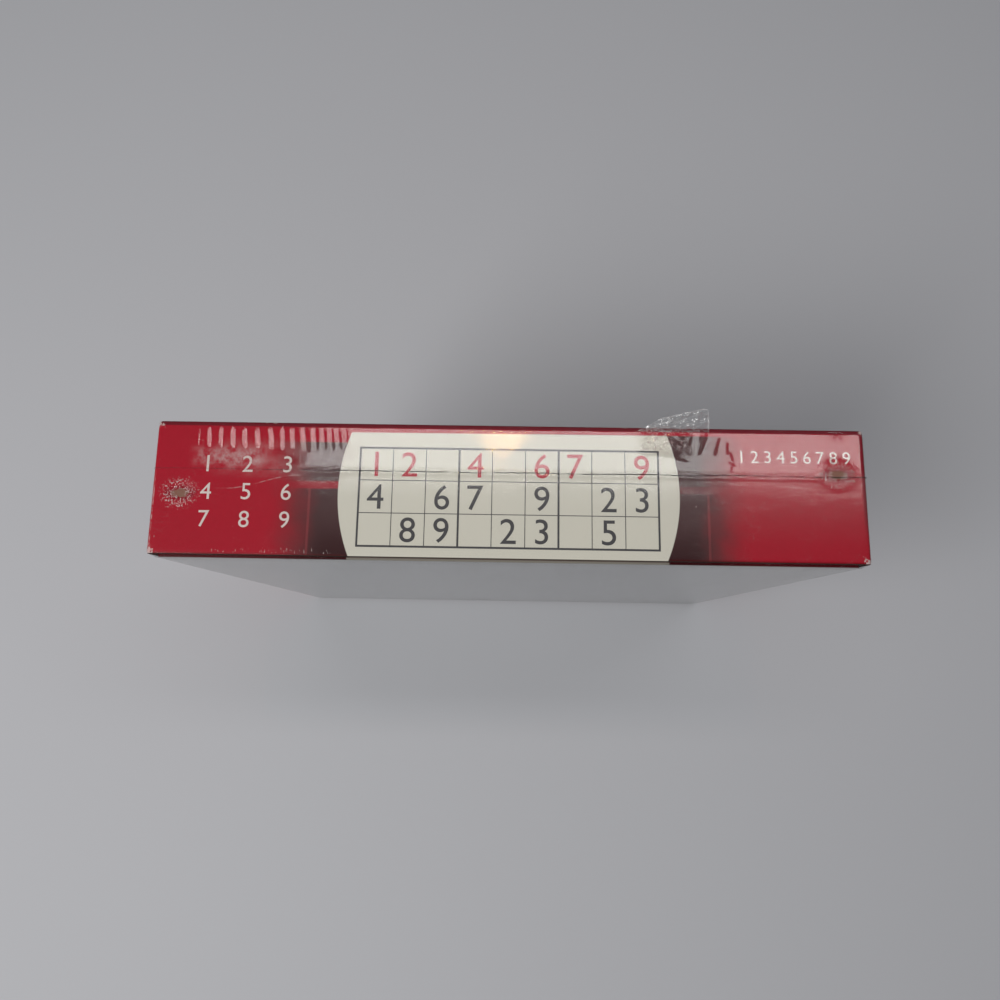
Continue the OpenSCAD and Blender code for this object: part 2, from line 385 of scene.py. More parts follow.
@dataclass(frozen=True)
class PrintedPaper(Finish):
    """Red laminated print with a cream disc, dark flanks, hair lines and worn edges, with painted shade along
    the lid's edges, round its vents and at both rims.
    """

    sheet: Sheet
    red: Colour = (0.44, 0.004, 0.021)
    cloud_red: Colour = (0.37, 0.003, 0.014)
    grain_red: Colour = (0.33, 0.003, 0.012)
    # Painted shade: darker red on rounded edges and round the vents.
    deep_red: Colour = (0.14, 0.005, 0.013)
    line_red: Colour = (0.6, 0.1, 0.11)
    # Painted shade just above the lid's rim.
    foot_red: Colour = (0.08, 0.002, 0.004)
    # Dark red of the base's walls, darkened further as painted shade.
    base_red: Colour = (0.05, 0.002, 0.004)
    cream: Colour = (0.72, 0.7, 0.6)
    cloud_cream: Colour = (0.68, 0.665, 0.585)
    # Cream darkened as painted shade under the lid's rim.
    base_cream: Colour = (0.3, 0.28, 0.235)
    charcoal: Colour = (0.05, 0.034, 0.034)
    foot_black: Colour = (0.008, 0.005, 0.005)
    # Painted shadow under the lid's rim.
    fold_black: Colour = (0.03, 0.025, 0.02)
    worn: Colour = (0.72, 0.6, 0.57)
    scuff: Colour = (0.25, 0.16, 0.115)
    white: Colour = (0.33, 0.33, 0.33)
    smudge: Colour = (0.25, 0.24, 0.24)
    rubbed: Colour = (0.12, 0.11, 0.11)
    disc_r: float = 63.6
    disc_w: float = 25.7
    disc_top: float = 48.35
    disc_tilt: float = 0.003
    flank_from: float = 95.0
    flank_to: float = 74.0
    flank_top: float = 48.5
    flank_drop: float = 4.3
    band_w: float = 28.6
    line_x: float = 74.2
    # Height and place where the painted shade of the far and right edges starts.
    far_w: float = 49.9
    right_x: float = 131.0
    worn_x: float = -132.4
    top_disc_r: float = 92.0
    top_line: float = 103.0
    cover_z: float = 110.0
    cover_grid: float = 108.0
    cover_up: float = 12.0
    print_edge: float = 0.15

    def _disc(self, radius: Value, size: float) -> Value:
        """Mask of a printed disc of the given size, from the distance to its middle."""
        return radius.ease(size + self.print_edge, size - self.print_edge)

    @cached_property
    def ground(self) -> Value:
        """Colour of the red ground, clouded and grained."""
        pen = self.pen
        cloudy = pen.mix(pen.noise(45.0, 2.0).ease(0.35, 0.75) * 0.3, self.red, self.cloud_red)
        return pen.mix(pen.noise(1.1, 3.0, 0.7).ease(0.4, 0.7) * 0.3, cloudy, self.grain_red)

    @cached_property
    def fold(self) -> Value:
        """Mask of the fold at the lid's rim, where a shadow is painted."""
        return self.pen.w.ease(PLAN.lid_rim + 0.28, PLAN.lid_rim + 0.14)

    @cached_property
    def upper_print(self) -> Value:
        """Colour of the upper wall's print."""
        pen = self.pen
        x, w = pen.axes[0], pen.w
        side = abs(x)
        mottle = pen.noise(9.0, 3.0)
        below = (w + x.ease(10.0, -10.0) * self.flank_drop).ease(self.flank_top + 0.3, self.flank_top)
        dark = (side + mottle * 9).ease(self.flank_from, self.flank_to) * below
        foot = w.ease(18.0, 2.0) * side.ease(80.0, 66.0) * 0.95
        colour = pen.mix(dark * 0.93, self.ground, pen.mix(foot, self.charcoal, self.foot_black))
        across = (w + mottle * 1.5).band(self.band_w, 0.9, 0.9) * side.ease(92.0, 72.0)
        colour = pen.mix(across * (x.ease(30.0, -30.0) * 0.54 + 0.16), colour, self.red)
        lines = side.band(self.line_x, 0.3, 0.3) * (0.07 + mottle * 0.2) * w.ease(27.4, 26.4)
        colour = pen.mix(lines, colour, self.line_red)
        disc = self._disc((x * x + (w - self.disc_w) ** 2).root(), self.disc_r)
        disc = disc * (w - x * self.disc_tilt).ease(self.disc_top + 0.25, self.disc_top)
        return pen.mix(disc, colour, pen.mix(pen.noise(30.0) * 0.5, self.cream, self.cloud_cream))

    @cached_property
    def top_print(self) -> Value:
        """Colour of the print on the lid's panel."""
        pen = self.pen
        x, _, z = pen.axes
        up = PLAN.depth / 2 - z
        radius = (x * x + up * up).root()
        dark = (radius + pen.noise(14.0, 3.0) * 16).ease(150.0, 104.0)
        colour = pen.mix(dark * 0.9, self.ground, self.charcoal)
        lines = most([abs(place).band(self.top_line, 0.25, 0.2) for place in (x, up)])
        colour = pen.mix(lines * 0.5, colour, self.line_red)
        return pen.mix(self._disc(radius, self.top_disc_r), colour, self.cream)

    @cached_property
    def wear(self) -> Value:
        """Mask of the lid's worn edges and corners, and of a pale broken line just inside its left edge."""
        pen = self.pen
        x, y, z = pen.axes
        side = PLAN.lid_half - abs(x)
        top = PLAN.thick / 2 - PLAN.film_in - y
        rim = y - (PLAN.lid_rim - PLAN.thick / 2)
        ends = (PLAN.depth / 2 + PLAN.lid_half - z).low(z - PLAN.film_in)
        edge = ends.high(side).low(ends.high(top)).low(side.high(top))
        corner = side.high(ends.high(top.low(rim)))
        rub = pen.noise(1.3, 4.0, 0.7)
        patch = pen.noise(9.0, 2.0)
        edge_rub = (edge + rub * 2.4 + patch * 1.2).ease(1.85, 1.55)
        corner_rub = (corner + rub * 8.0).ease(6.2, 5.2)
        # A pale broken line just inside the left edge.
        line = x.band(self.worn_x, 0.12, 0.25) * y.ease(8.0, -3.0)
        line = line * (rub + patch * 0.5).ease(0.62, 0.85) * 0.6
        return most((edge_rub, corner_rub, line))

    @cached_property
    def flecks(self) -> Value:
        """Mask of flecks rubbed off the upper wall, most of them near its rim."""
        pen = self.pen
        x, w = pen.axes[0], pen.w
        tick = pen.noise(0.5, 2.0, 0.6, pen.stretched((1.0, 0.3, 1.0)))
        speck = pen.noise(0.7, 1.0)
        near = w.ease(5.2, 3.0) * w.ease(1.6, 2.2) * (x.band(-88.0, 18.0, 12.0) * 0.7 + 0.3)
        ticks = (tick + near * 0.16).ease(0.76, 0.84) * near * 0.7
        return ticks.high(speck.ease(0.8, 0.84) * 0.5)

    @cached_property
    def lid_print(self) -> Value:
        """Colour of the lid's paper."""
        pen = self.pen
        x, y, z = pen.axes
        w, out = pen.w, z - PLAN.depth / 2
        upper = out.ease(PLAN.lid_half - 1.1, PLAN.lid_half - 0.75)
        colour = pen.mix(upper, self.ground, self.upper_print)
        top = y.ease(PLAN.thick / 2 - 1.2, PLAN.thick / 2 - 0.9)
        colour = pen.mix(top, colour, self.top_print)
        # Painted shade: darker red along the rounding of the far edge and down the rounded right edge.
        far = out.ease(PLAN.lid_half - 1.2, PLAN.lid_half - 0.5) * w.ease(self.far_w, self.far_w + 0.5)
        right = x.ease(self.right_x, self.right_x + 1) * w.ease(8.0, 22.0) * upper * 0.7
        colour = pen.mix(far.high(right) * 0.9, colour, self.deep_red)
        for spot_x, spot_w in VENTS:
            gap = (((x - spot_x) * 0.5) ** 2 + (w - spot_w) ** 2).root() + pen.noise(1.2, 3.0) * 1.8
            # Painted shade: a darker red ring round each vent, where the crumpled film turns the glare away.
            colour = pen.mix(gap.ease(4.6, 2.8) * upper * 0.5, colour, self.deep_red)
            blot = gap.ease(2.7, 2.3) * upper * (0.55 + pen.noise(0.8, 2.0) * 0.5)
            colour = pen.mix(blot, colour, self.scuff)
        # Painted shade: the red darkens just above the lid's rim, outside the cream.
        foot = w.ease(PLAN.lid_rim + 1.1, PLAN.lid_rim + 0.1) * abs(x).ease(59.0, 61.0)
        colour = pen.mix(foot * 0.7, colour, self.foot_red)
        # Painted shadow under the fold of the lid's rim.
        colour = pen.mix(self.fold * 0.9, colour, self.fold_black)
        wear = self.wear.high(self.flecks * upper) * (1 - self.fold)
        return pen.mix(wear * 0.8, colour, self.worn)

    @cached_property
    def base_print(self) -> Value:
        """Colour of the base's paper, with painted shade on its walls under the lid's rim, and its plain
        smudged underside.
        """
        pen = self.pen
        x, y, z = pen.axes
        upper = (z - PLAN.depth / 2).ease(PLAN.base_half - 1.1, PLAN.base_half - 0.75)
        colour = pen.mix(upper, self.ground, self.upper_print)
        under = y.ease(0.36 - PLAN.thick / 2, 0.28 - PLAN.thick / 2)
        # Dark red on the base's walls, partly their print and partly painted shade under the lid's rim.
        colour = pen.mix(0.9 * (1 - under), colour, self.base_red)
        # Painted shade: the darkened cream shows fully only in a narrow band, going darker above and below
        # it.
        unshaded_band = pen.w.band(0.72, 0.22, 0.25) * 0.75 + 0.25
        colour = pen.mix(abs(x).ease(60.0, 59.6) * upper * unshaded_band, colour, self.base_cream)
        long = pen.stretched((1.0, 1.0, 0.13))
        cloud = (pen.noise(7.0, 4.0, 0.6, long) * 0.7 + pen.noise(40.0, 3.0) * 0.3).ease(0.47, 0.62)
        plain = pen.mix(cloud * 0.35, self.white, self.smudge)
        marks = pen.noise(1.8, 3.0, 0.6, long).ease(0.6, 0.68) * pen.noise(16.0, 3.0).ease(0.54, 0.64)
        return pen.mix(under, colour, pen.mix(marks * 0.5, plain, self.rubbed))

    @cached_property
    def cover_print(self) -> Value:
        """Colour of the booklet's cover: a pale panel with a plain grid of nine by nine."""
        pen = self.pen
        x, _, z = pen.axes
        up = self.cover_z - z
        colour = pen.mix(abs(up + 70).ease(26.0, 22.0) * 0.85, self.ground, self.charcoal)
        half = self.cover_grid / 2
        reach = abs(x).high(abs(up - self.cover_up))
        colour = pen.mix(reach.ease(half + 4.2, half + 3.8), colour, self.cream)
        rules = []
        for place in (x, up - self.cover_up):
            cell = ((place + half * 10) / (self.cover_grid / 9)).fract()
            block = ((place + half) / (self.cover_grid / 3)).fract()
            rules += [abs(cell - 0.5).ease(0.485, 0.492), abs(block - 0.5).ease(0.484, 0.489)]
        return pen.mix(most(rules) * reach.ease(half + 0.6, half + 0.4) * 0.85, colour, self.charcoal)

    @property
    def shader(self) -> Socket:
        """Print of the sheet, with a fine grain."""
        pen = self.pen
        rough = 0.34 + pen.noise(1.6, 3.0) * 0.1
        if self.sheet is Sheet.LID:
            colour = self.lid_print
            rough = rough.high(self.fold * 0.95)
        elif self.sheet is Sheet.BASE:
            colour = self.base_print
        else:
            colour = self.cover_print
        grain = pen.noise(0.55, 2.0) * 0.6 + pen.noise(7.0, 2.0) * 0.4
        return pen.surface(Base_Color=colour, Roughness=rough, Specular_IOR_Level=0.12,
                           Normal=pen.bump(grain, 0.02, 0.35))


@dataclass(frozen=True)
class FibreBoard(Finish):
    """Grey board or uncoated paper with fibres and flecks."""

    colour: Colour
    fleck: Colour
    fleck_share: float = 0.4
    rough: float = 0.85
    fibre: float = 1.4
    depth: float = 0.05

    @property
    def shader(self) -> Socket:
        """Crossed fibres, flecks and faint clouds."""
        pen = self.pen
        cloud = pen.noise(self.fibre * 9, 3.0)
        strand, cross = (pen.noise(self.fibre, 4.0, 0.7, pen.stretched(scale))
                         for scale in ((1.0, 1.0, 0.22), (0.25, 1.0, 1.0)))
        fleck = (strand * 0.5 + cross * 0.5).ease(0.52, 0.66) * self.fleck_share
        shade = pen.mix(cloud.ease(0.3, 0.75) * 0.22, self.colour, dim(self.colour, 0.82))
        return pen.surface(Base_Color=pen.mix(fleck, shade, self.fleck), Roughness=self.rough - strand * 0.12,
                           Normal=pen.bump(strand * 0.6 + cross * 0.4, self.depth, 0.5))


@dataclass(frozen=True)
class CoatedCard(Finish):
    """White-lined folding card, with painted shade along its creases."""

    colour: Colour = (0.72, 0.72, 0.7)
    # Painted shade along the folds.
    crease: Colour = (0.5, 0.49, 0.47)
    folds_x: tuple[float, float] = (81.4, 127.0)
    folds_y: tuple[float, float] = (15.4, -23.3)

    @property
    def shader(self) -> Socket:
        """Clouded card with painted shade along its creases."""
        pen = self.pen
        x, y, _ = pen.axes
        fold = most([abs(place - first).low(abs(place - second))
                     for place, (first, second) in ((abs(x), self.folds_x), (y, self.folds_y))])
        # Painted shade: greyer along the folds, over a ragged width.
        worn = (fold + pen.noise(2.5, 3.0) * 1.6).ease(1.9, 0.9)
        cloud = pen.noise(30.0, 3.0).ease(0.35, 0.7)
        tone = pen.mix(cloud * 0.25, self.colour, dim(self.colour, 0.88))
        fibre = pen.noise(0.9, 3.0, 0.6)
        return pen.surface(Base_Color=pen.mix(worn * 0.45, tone, self.crease), Roughness=0.5 + fibre * 0.15,
                           Normal=pen.bump(fibre, 0.03, 0.4))


@dataclass(frozen=True)
class MouldedPlastic(Finish):
    """Injection-moulded plastic with a fine spark texture and uneven gloss."""

    colour: Colour
    rough: float = 0.38
    spark: float = 0.35
    tone: float = 0.1

    @property
    def shader(self) -> Socket:
        """Clouded colour with a fine spark texture."""
        pen = self.pen
        cloud = pen.noise(22.0, 2.0).ease(0.3, 0.75)
        colour = pen.mix(cloud * self.tone, self.colour, dim(self.colour, 0.75))
        rough = self.rough + (pen.noise(6.0, 2.0) - 0.5) * 0.14
        spark = pen.noise(self.spark, 2.0, 0.6)
        return pen.surface(Base_Color=colour, Roughness=rough, Normal=pen.bump(spark, 0.012, 0.5))


@dataclass(frozen=True)
class Ink(Finish):
    """Printed or filled colour with slight unevenness."""

    colour: Colour
    rough: float = 0.4

    @property
    def shader(self) -> Socket:
        """Colour that thins in places."""
        pen = self.pen
        thin = pen.noise(1.2, 3.0, 0.65).ease(0.45, 0.8)
        lighter = tuple(min(1.0, c * 1.25 + 0.02) for c in self.colour)
        colour = pen.mix(thin * 0.5, self.colour, lighter)
        return pen.surface(Base_Color=colour, Roughness=self.rough + thin * 0.1)


@dataclass(frozen=True)
class BoardSheet(Finish):
    """Printed face of the board: cream cells ruled nine by nine."""

    paper: Colour = (0.7, 0.67, 0.57)
    cloud: Colour = (0.62, 0.59, 0.5)
    rule: Colour = (0.2, 0.17, 0.16)

    @property
    def shader(self) -> Socket:
        """Ruled cells on clouded paper."""
        pen = self.pen
        x, _, z = pen.axes
        cell, pitch = PLAN.window / 3, PLAN.window + PLAN.bar
        rules = []
        for place in (x, z - PLAN.depth / 2):
            local = ((place + pitch * 3 / 2) / pitch).fract() * pitch - pitch / 2
            rules.append(abs(abs(local) - cell / 2).ease(0.45, 0.25))
        fibre = pen.noise(1.1, 3.0, 0.6)
        paper = pen.mix(pen.noise(20.0) * 0.3, self.paper, self.cloud)
        return pen.surface(Base_Color=pen.mix(most(rules) * 0.8, paper, self.rule),
                           Roughness=0.42 + fibre * 0.1, Normal=pen.bump(fibre, 0.02, 0.3))


@dataclass(frozen=True)
class PageEdges(Finish):
    """White pages, whose cut edges show as fine lines."""

    paper: Colour = (0.74, 0.73, 0.69)
    gap: Colour = (0.5, 0.48, 0.44)
    leaf: float = 0.11

    @property
    def shader(self) -> Socket:
        """Fine lines between the leaves."""
        pen = self.pen
        stack = pen.noise(self.leaf * 2.2, 2.0, 0.6, pen.stretched((0.04, 1.0, 0.04)))
        colour = pen.mix(stack.ease(0.5, 0.68) * 0.7, self.paper, self.gap)
        return pen.surface(Base_Color=colour, Roughness=0.75 + pen.noise(0.8, 3.0) * 0.1,
                           Normal=pen.bump(stack, 0.05, 0.6))


@dataclass(frozen=True)
class LeafletPrint(Finish):
    """White leaflet with plain grey bars and small empty grids."""

    paper: Colour = (0.76, 0.76, 0.74)
    grey: Colour = (0.32, 0.32, 0.33)
    bar_pitch: float = 4.2
    bar_left: float = -46.0
    bar_right: float = 38.0
    ragged: float = 26.0
    part_pitch: float = 66.0
    cell: float = 4.0
    grid_x: float = 24.0
    grid_half: float = 18.0

    @property
    def shader(self) -> Socket:
        """Bars and grids on white paper."""
        pen = self.pen
        x, _, z = pen.axes
        row = abs((z / self.bar_pitch).fract() - 0.5).ease(0.2, 0.14)
        short = pen.noise(26.0, 0.0, 0.5, pen.stretched((0.05, 0.05, 1.0))) * self.ragged
        bars = row * (x - self.bar_left).ease(0.0, 0.4)
        bars = bars * (x - short).ease(self.bar_right, self.bar_right - 0.5)
        split = abs((z / self.part_pitch).fract() - 0.5).ease(0.26, 0.27)
        grid = most([abs((place / self.cell).fract() - 0.5).ease(0.44, 0.47) for place in (x, z)])
        boxed = grid * abs(x).band(self.grid_x, self.grid_half, 0.2) * (1 - split)
        colour = pen.mix((bars * split * 0.55).high(boxed * 0.6), self.paper, self.grey)
        fibre = pen.noise(1.0, 3.0)
        return pen.surface(Base_Color=colour, Roughness=0.62 + fibre * 0.1,
                           Normal=pen.bump(fibre, 0.02, 0.3))


@dataclass(frozen=True)
class DrawnWire(Finish):
    """Galvanised steel wire."""

    colour: Colour = (0.62, 0.62, 0.64)
    streak: Colour = (0.4, 0.4, 0.42)

    @property
    def shader(self) -> Socket:
        """Steel with drawn streaks."""
        pen = self.pen
        drawn = pen.noise(0.4, 3.0, 0.6, pen.stretched((1.0, 1.0, 0.1)))
        colour = pen.mix(drawn * 0.4, self.colour, self.streak)
        return pen.surface(Base_Color=colour, Metallic=1.0, Roughness=0.28 + drawn * 0.15)


@dataclass(frozen=True)
class ClearFilm(Finish):
    """Clear shrink film: gloss that grows at a glancing view, crinkles, fine scuffs and painted glints."""

    gloss: float = 0.021
    rough: float = 0.045
    crinkle: float = 0.25
    haze: float = 0.001
    lines: float = 0.16
    cell: float = 5.5
    spread: float = 0.0
    # Colour of the scuffs, the haze and the painted glints.
    white: Colour = (0.92, 0.69, 0.68)
    wall_z: float = 260.0
    foot_z: float = 263.6
    pocket_x: float = 59.0

    @cached_property
    def milk(self) -> Value:
        """Share of milky white on the upper wall, partly haze and partly painted glare: a cloud and a crease
        at the left, a thin veil at the right.
        """
        pen = self.pen
        x, w = pen.axes[0], pen.w
        cloud = pen.noise(4.0, 6.0, 0.72)
        # The clouds at the left are partly haze and partly painted glare.
        left = x.band(-105.0, 8.0, 8.0) * w.band(38.3, 0.8, 4.5)
        soft = x.band(-84.0, 18.0, 14.0) * w.band(38.0, 4.0, 5.0)
        veil = x.ease(45.0, 90.0) * w.ease(5.0, 30.0) * w.ease(37.0, 33.0)
        rise = 26.0 + x.ease(-106.0, -78.0) * 5.5
        crease = abs(w - rise).ease(0.3, 0.1) * x.band(-91.0, 16.0, 5.0) * cloud.ease(0.45, 0.62)
        haze = cloud.ease(0.36, 0.74) * left * 0.3 + cloud.ease(0.3, 0.7) * soft * 0.08
        return haze + veil * (0.012 + cloud * 0.03) + crease * 0.16

    @cached_property
    def pleats(self) -> Value:
        """Mask of short hard pleats beside the tail, which turn the gloss away."""
        pen = self.pen
        x, w = pen.axes[0], pen.w
        ragged = (pen.noise(0.9, 2.0) - 0.5) * 0.9
        found = []
        for u0, w0, u1, w1, half in PLEATS:
            du, dw = u1 - u0, w1 - w0
            along = ((x - u0) * du + (w - w0) * dw) / (du * du + dw * dw)
            along = along.high(0.0).low(1.0)
            gap = ((x - u0 - along * du) ** 2 + (w - w0 - along * dw) ** 2).root() + ragged
            found.append(gap.ease(half + 0.3, half))
        return most(found)

    @property
    def shader(self) -> Socket:
        """Clear gloss under scratches, haze, crumples and painted glints."""
        pen = self.pen
        x, _, z = pen.axes
        w = pen.w
        up = z.ease(self.wall_z, self.wall_z + 4)
        fine = pen.noise(0.9, 3.0, 0.6)
        far = [(((x - spot_x) * 0.8) ** 2 + (w - spot_w) ** 2).root() for spot_x, spot_w in VENTS]
        ring = most([(gap + fine * 3.0).ease(9.0, 6.0) * up for gap in far])
        seam = w.band(PLAN.seal, 0.9, 1.2) * x.ease(-84.0, -68.0)
        drawn = pen.noise(1.2, 3.0, 0.6, pen.stretched((1.0, 0.14, 1.0))) * w.ease(40.0, 49.0) * up
        loose = x.band(self.pocket_x, 7.0, 5.0) * w.ease(40.0, 45.0) * up
        rippled = 0.06 + most((ring, seam * 0.35, loose * 0.8)) * 1.1
        height = pen.noise(7.0, 2.0) * 0.35 + fine * rippled + drawn * 0.3
        normal = pen.bump(height + pen.noise(2.6, 2.0) * loose * 1.2, self.crinkle, 0.55)

        weight = pen.node("ShaderNodeLayerWeight", None, Blend=0.5, Normal=normal)
        facing = Value(pen, weight.outputs["Facing"])
        foot = z.ease(self.foot_z, self.foot_z + 0.3) * w.ease(2.2, 1.4) * 0.95
        turned = foot.high(self.pleats * up * 0.9)
        mirror = (self.gloss + (facing ** 5) * 0.6) * (1 - turned)
        rough = self.rough + w.ease(PLAN.seal, PLAN.seal - 2.5) * up * 0.06
        gloss = pen.node("ShaderNodeBsdfGlossy", None, Color=(1.0, 1.0, 1.0), Roughness=rough, Normal=normal)
        body = pen.blend(mirror, pen.clear(), gloss.outputs[0])

        scratch = pen.cracks(self.cell, pen.stretched((1.0, 2.4, 1.0))).ease(0.033 / self.cell, 0.0)
        patchy = pen.noise(12.0, 3.0).ease(0.5 - self.spread, 0.68 - self.spread)
        # Painted glints: pale flecks round the vents, and glinting specks.
        glint = (pen.noise(0.65, 3.0, 0.6) + ring * 0.12).ease(0.66, 0.71) * ring
        speck = (pen.noise(1.0, 2.0) + patchy * 0.06).ease(0.78, 0.82)
        crumple = pen.noise(1.5, 4.0, 0.65).ease(0.5, 0.66) * loose
        # Painted highlight along the tail's outer edges.
        hem = Value(pen, pen.node("ShaderNodeAttribute", {"attribute_name": "hem"}).outputs["Fac"])
        # White marks: scratches and haze, with painted glints and painted highlights.
        marks = scratch * patchy * self.lines + glint * 0.36 + speck * 0.4 + self.milk * up
        scuff = (marks + hem * 0.7 + crumple * 0.24 + self.haze).low(1.0)
        return pen.blend(scuff, body, pen.node("ShaderNodeBsdfDiffuse", None, Color=self.white).outputs[0])


@dataclass(frozen=True)
class SealedEdge(Finish):
    """Melted seam of the film: a thin glassy line, painted dark as shade where the thick seal turns light
    away.
    """

    # Painted shade of the thick seal.
    colour: Colour = (0.05, 0.045, 0.045)

    @property
    def shader(self) -> Socket:
        """Painted dark line, broken in places."""
        pen = self.pen
        broken = pen.noise(3.2, 3.0, 0.6).ease(0.34, 0.6) * (pen.axes[0].ease(-95.0, -70.0) * 0.9 + 0.1)
        dark = pen.surface(Base_Color=self.colour, Roughness=0.25)
        return pen.blend(0.03 + broken * 0.75, pen.clear(), dark)


@dataclass(frozen=True)
class FloorPaint(Finish):
    """Smooth pale table top."""

    colour: Colour = (0.6, 0.61, 0.64)

    @property
    def shader(self) -> Socket:
        """Faintly clouded paint."""
        pen = self.pen
        colour = pen.mix(pen.noise(260.0, 3.0) * 0.2, self.colour, dim(self.colour, 0.94))
        return pen.surface(Base_Color=colour, Roughness=0.7)


def put(name: str, data: bpy.types.ID) -> Object:
    """Links a new object into the scene.

    Args:
        name: Object name.
        data: Its mesh, lamp or camera.

    Returns:
        The object.
    """
    made = bpy.data.objects.new(name, data)
    bpy.context.collection.objects.link(made)
    return made


def lay(name: str, points: Points, edges: Sequence = (), faces: Sequence = ()) -> Object:
    """Makes an object from points of the lying box.

    Args:
        name: Object name.
        points: Rows of x, y and z in millimetres.
        edges: Vertex numbers of each loose edge.
        faces: Vertex numbers of each face.

    Returns:
        The new object.
    """
    mesh = bpy.data.meshes.new(name)
    mesh.from_pydata(PLAN.stand(points).tolist(), edges, faces)
    mesh.update()
    return put(name, mesh)


def smooth(name: str, points: Points, faces: Faces, material: Material, angle: float = 40.0) -> Object:
    """Makes a smooth piece from points of the lying box.

    Args:
        name: Piece name.
        points: Rows of x, y and z in millimetres.
        faces: Vertex numbers of each face.
        material: Finish of the piece.
        angle: Edges sharper than this stay sharp, in degrees.

    Returns:
        The new object.
    """
    made = lay(name, points, faces=faces)
    made.data.materials.append(material)
    made.data.shade_smooth()
    made.data.set_sharp_from_angle(angle=math.radians(angle))
    return made


def mark(made: Object, name: str, kind: str, values: Sequence[float]) -> None:
    """Adds a named attribute with one value for each point."""
    made.data.attributes.new(name, kind, "POINT").data.foreach_set("value", values)


def settle(made: Object) -> Object:
    """Applies an object's modifiers.

    Args:
        made: Object with live modifiers.

    Returns:
        The same object with a plain mesh.
    """
    graph = bpy.context.evaluated_depsgraph_get()
    graph.update()
    mesh = bpy.data.meshes.new_from_object(made.evaluated_get(graph))
    old = made.data
    made.modifiers.clear()
    made.data = mesh
    bpy.data.meshes.remove(old)
    mesh.name = made.name
    return made


def thicken(made: Object, thickness: float, angle: float = 60.0) -> Object:
    """Gives a skin its thickness on the inner side.

    Args:
        made: Open skin with its faces outward.
        thickness: Thickness in millimetres.
        angle: Edges sharper than this stay sharp, in degrees.

    Returns:
        The closed piece.
    """
    solid = made.modifiers.new("thickness", "SOLIDIFY")
    solid.thickness = thickness * MM
    solid.offset = -1.0
    solid.use_even_offset = True
    settle(made).data.set_sharp_from_angle(angle=math.radians(angle))
    return made


def wear(node: str, material: Material) -> None:
    """Puts a finish on a frame node.

    Args:
        node: Node name.
        material: Its finish.
    """
    mesh = frame["nodes"][node].data
    mesh.materials.clear()
    mesh.materials.append(material)
    LOG.info("dressed %s with %s", node, material.name)


def ride(made: Object, body: str, slot: str, *nodes: str) -> None:
    """Ties a piece to a body.

    Args:
        made: The piece.
        body: Body that it moves with.
        slot: Name of a material slot; not used.
        nodes: Frame nodes that it stands for.
    """
    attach(made, body)
    if nodes:
        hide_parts(*nodes)
    LOG.info("made %s on %s, %d faces", made.name, body, len(made.data.polygons))


def panel(height: float, *insets: float) -> Profile:
    """Profile of a flat panel, with a ring at each inset."""
    return [(inset, height) for inset in insets]


def wall(top: float, bottom: float, rings: int) -> Profile:
    """Profile of an outer wall, from one height to another."""
    return [(0.0, height) for height in np.linspace(top, bottom, rings)]


def arc(centre: tuple[float, float], radius: float, start: float, steps: int = 5) -> Profile:
    """Points along a quarter of a circle from the given angle in degrees, both ends included."""
    angles = np.radians(np.linspace(start, start + 90, steps + 1))
    return [(centre[0] + radius * math.cos(a), centre[1] + radius * math.sin(a)) for a in angles]


@dataclass(frozen=True)
class RingPlan:
    """How many points go round a square with round corners."""

    front: int
    side: int
    bend: int = 6

    @property
    def count(self) -> int:
        """Points on one ring."""
        return self.front + 3 * self.side + 4 * (self.bend - 1)

    def ring(self, half: float, radius: float) -> Points:
        """Points round a square.

        Args:
            half: Half the square's side.
            radius: Corner radius.

        Returns:
            Rows of x and y, from the left end of the front wall.
        """
        r = max(radius, 0.05)
        c = half - r
        angles = np.radians(90 * np.arange(1, self.bend) / self.bend)
        corner = np.column_stack((c + r * np.sin(angles), -c - r * np.cos(angles)))
        rows = []
        for turn, count in enumerate((self.front, self.side, self.side, self.side)):
            wall_line = np.linspace((-c, -half), (c, -half), count)
            quarter_turns = np.linalg.matrix_power(np.array(((0, 1), (-1, 0))), turn)
            rows.append(np.vstack((wall_line, corner)) @ quarter_turns)
        return np.vstack(rows)

    def loft(self, half: float, radius: float, profile: Profile) -> Points:
        """Rings along a profile.

        Args:
            half: Half the square's side at inset 0.
            radius: Corner radius at inset 0.
            profile: Inset and height of each ring.

        Returns:
            Rows of x, y and z, ring by ring.
        """
        rings = []
        for inset, height in profile:
            flat = self.ring(half - inset, radius - inset)
            rings.append(np.column_stack((flat, np.full(len(flat), height))))
        return np.vstack(rings)

    def faces(self, rings: int, first_cap: bool) -> Faces:
        """Faces between rings, with a cap at one end.

        Args:
            rings: Number of rings.
            first_cap: True closes the first ring, and False the last.

        Returns:
            Vertex numbers of each face, outward where a profile runs down an outer wall.
        """
        here = np.arange(rings * self.count).reshape(rings, -1)
        after = np.roll(here, -1, axis=1)
        quads = np.stack((here[:-1], here[1:], after[1:], after[:-1]), axis=-1).reshape(-1, 4)
        cap = here[0] if first_cap else here[-1][::-1]
        return [*quads.tolist(), cap.tolist()]


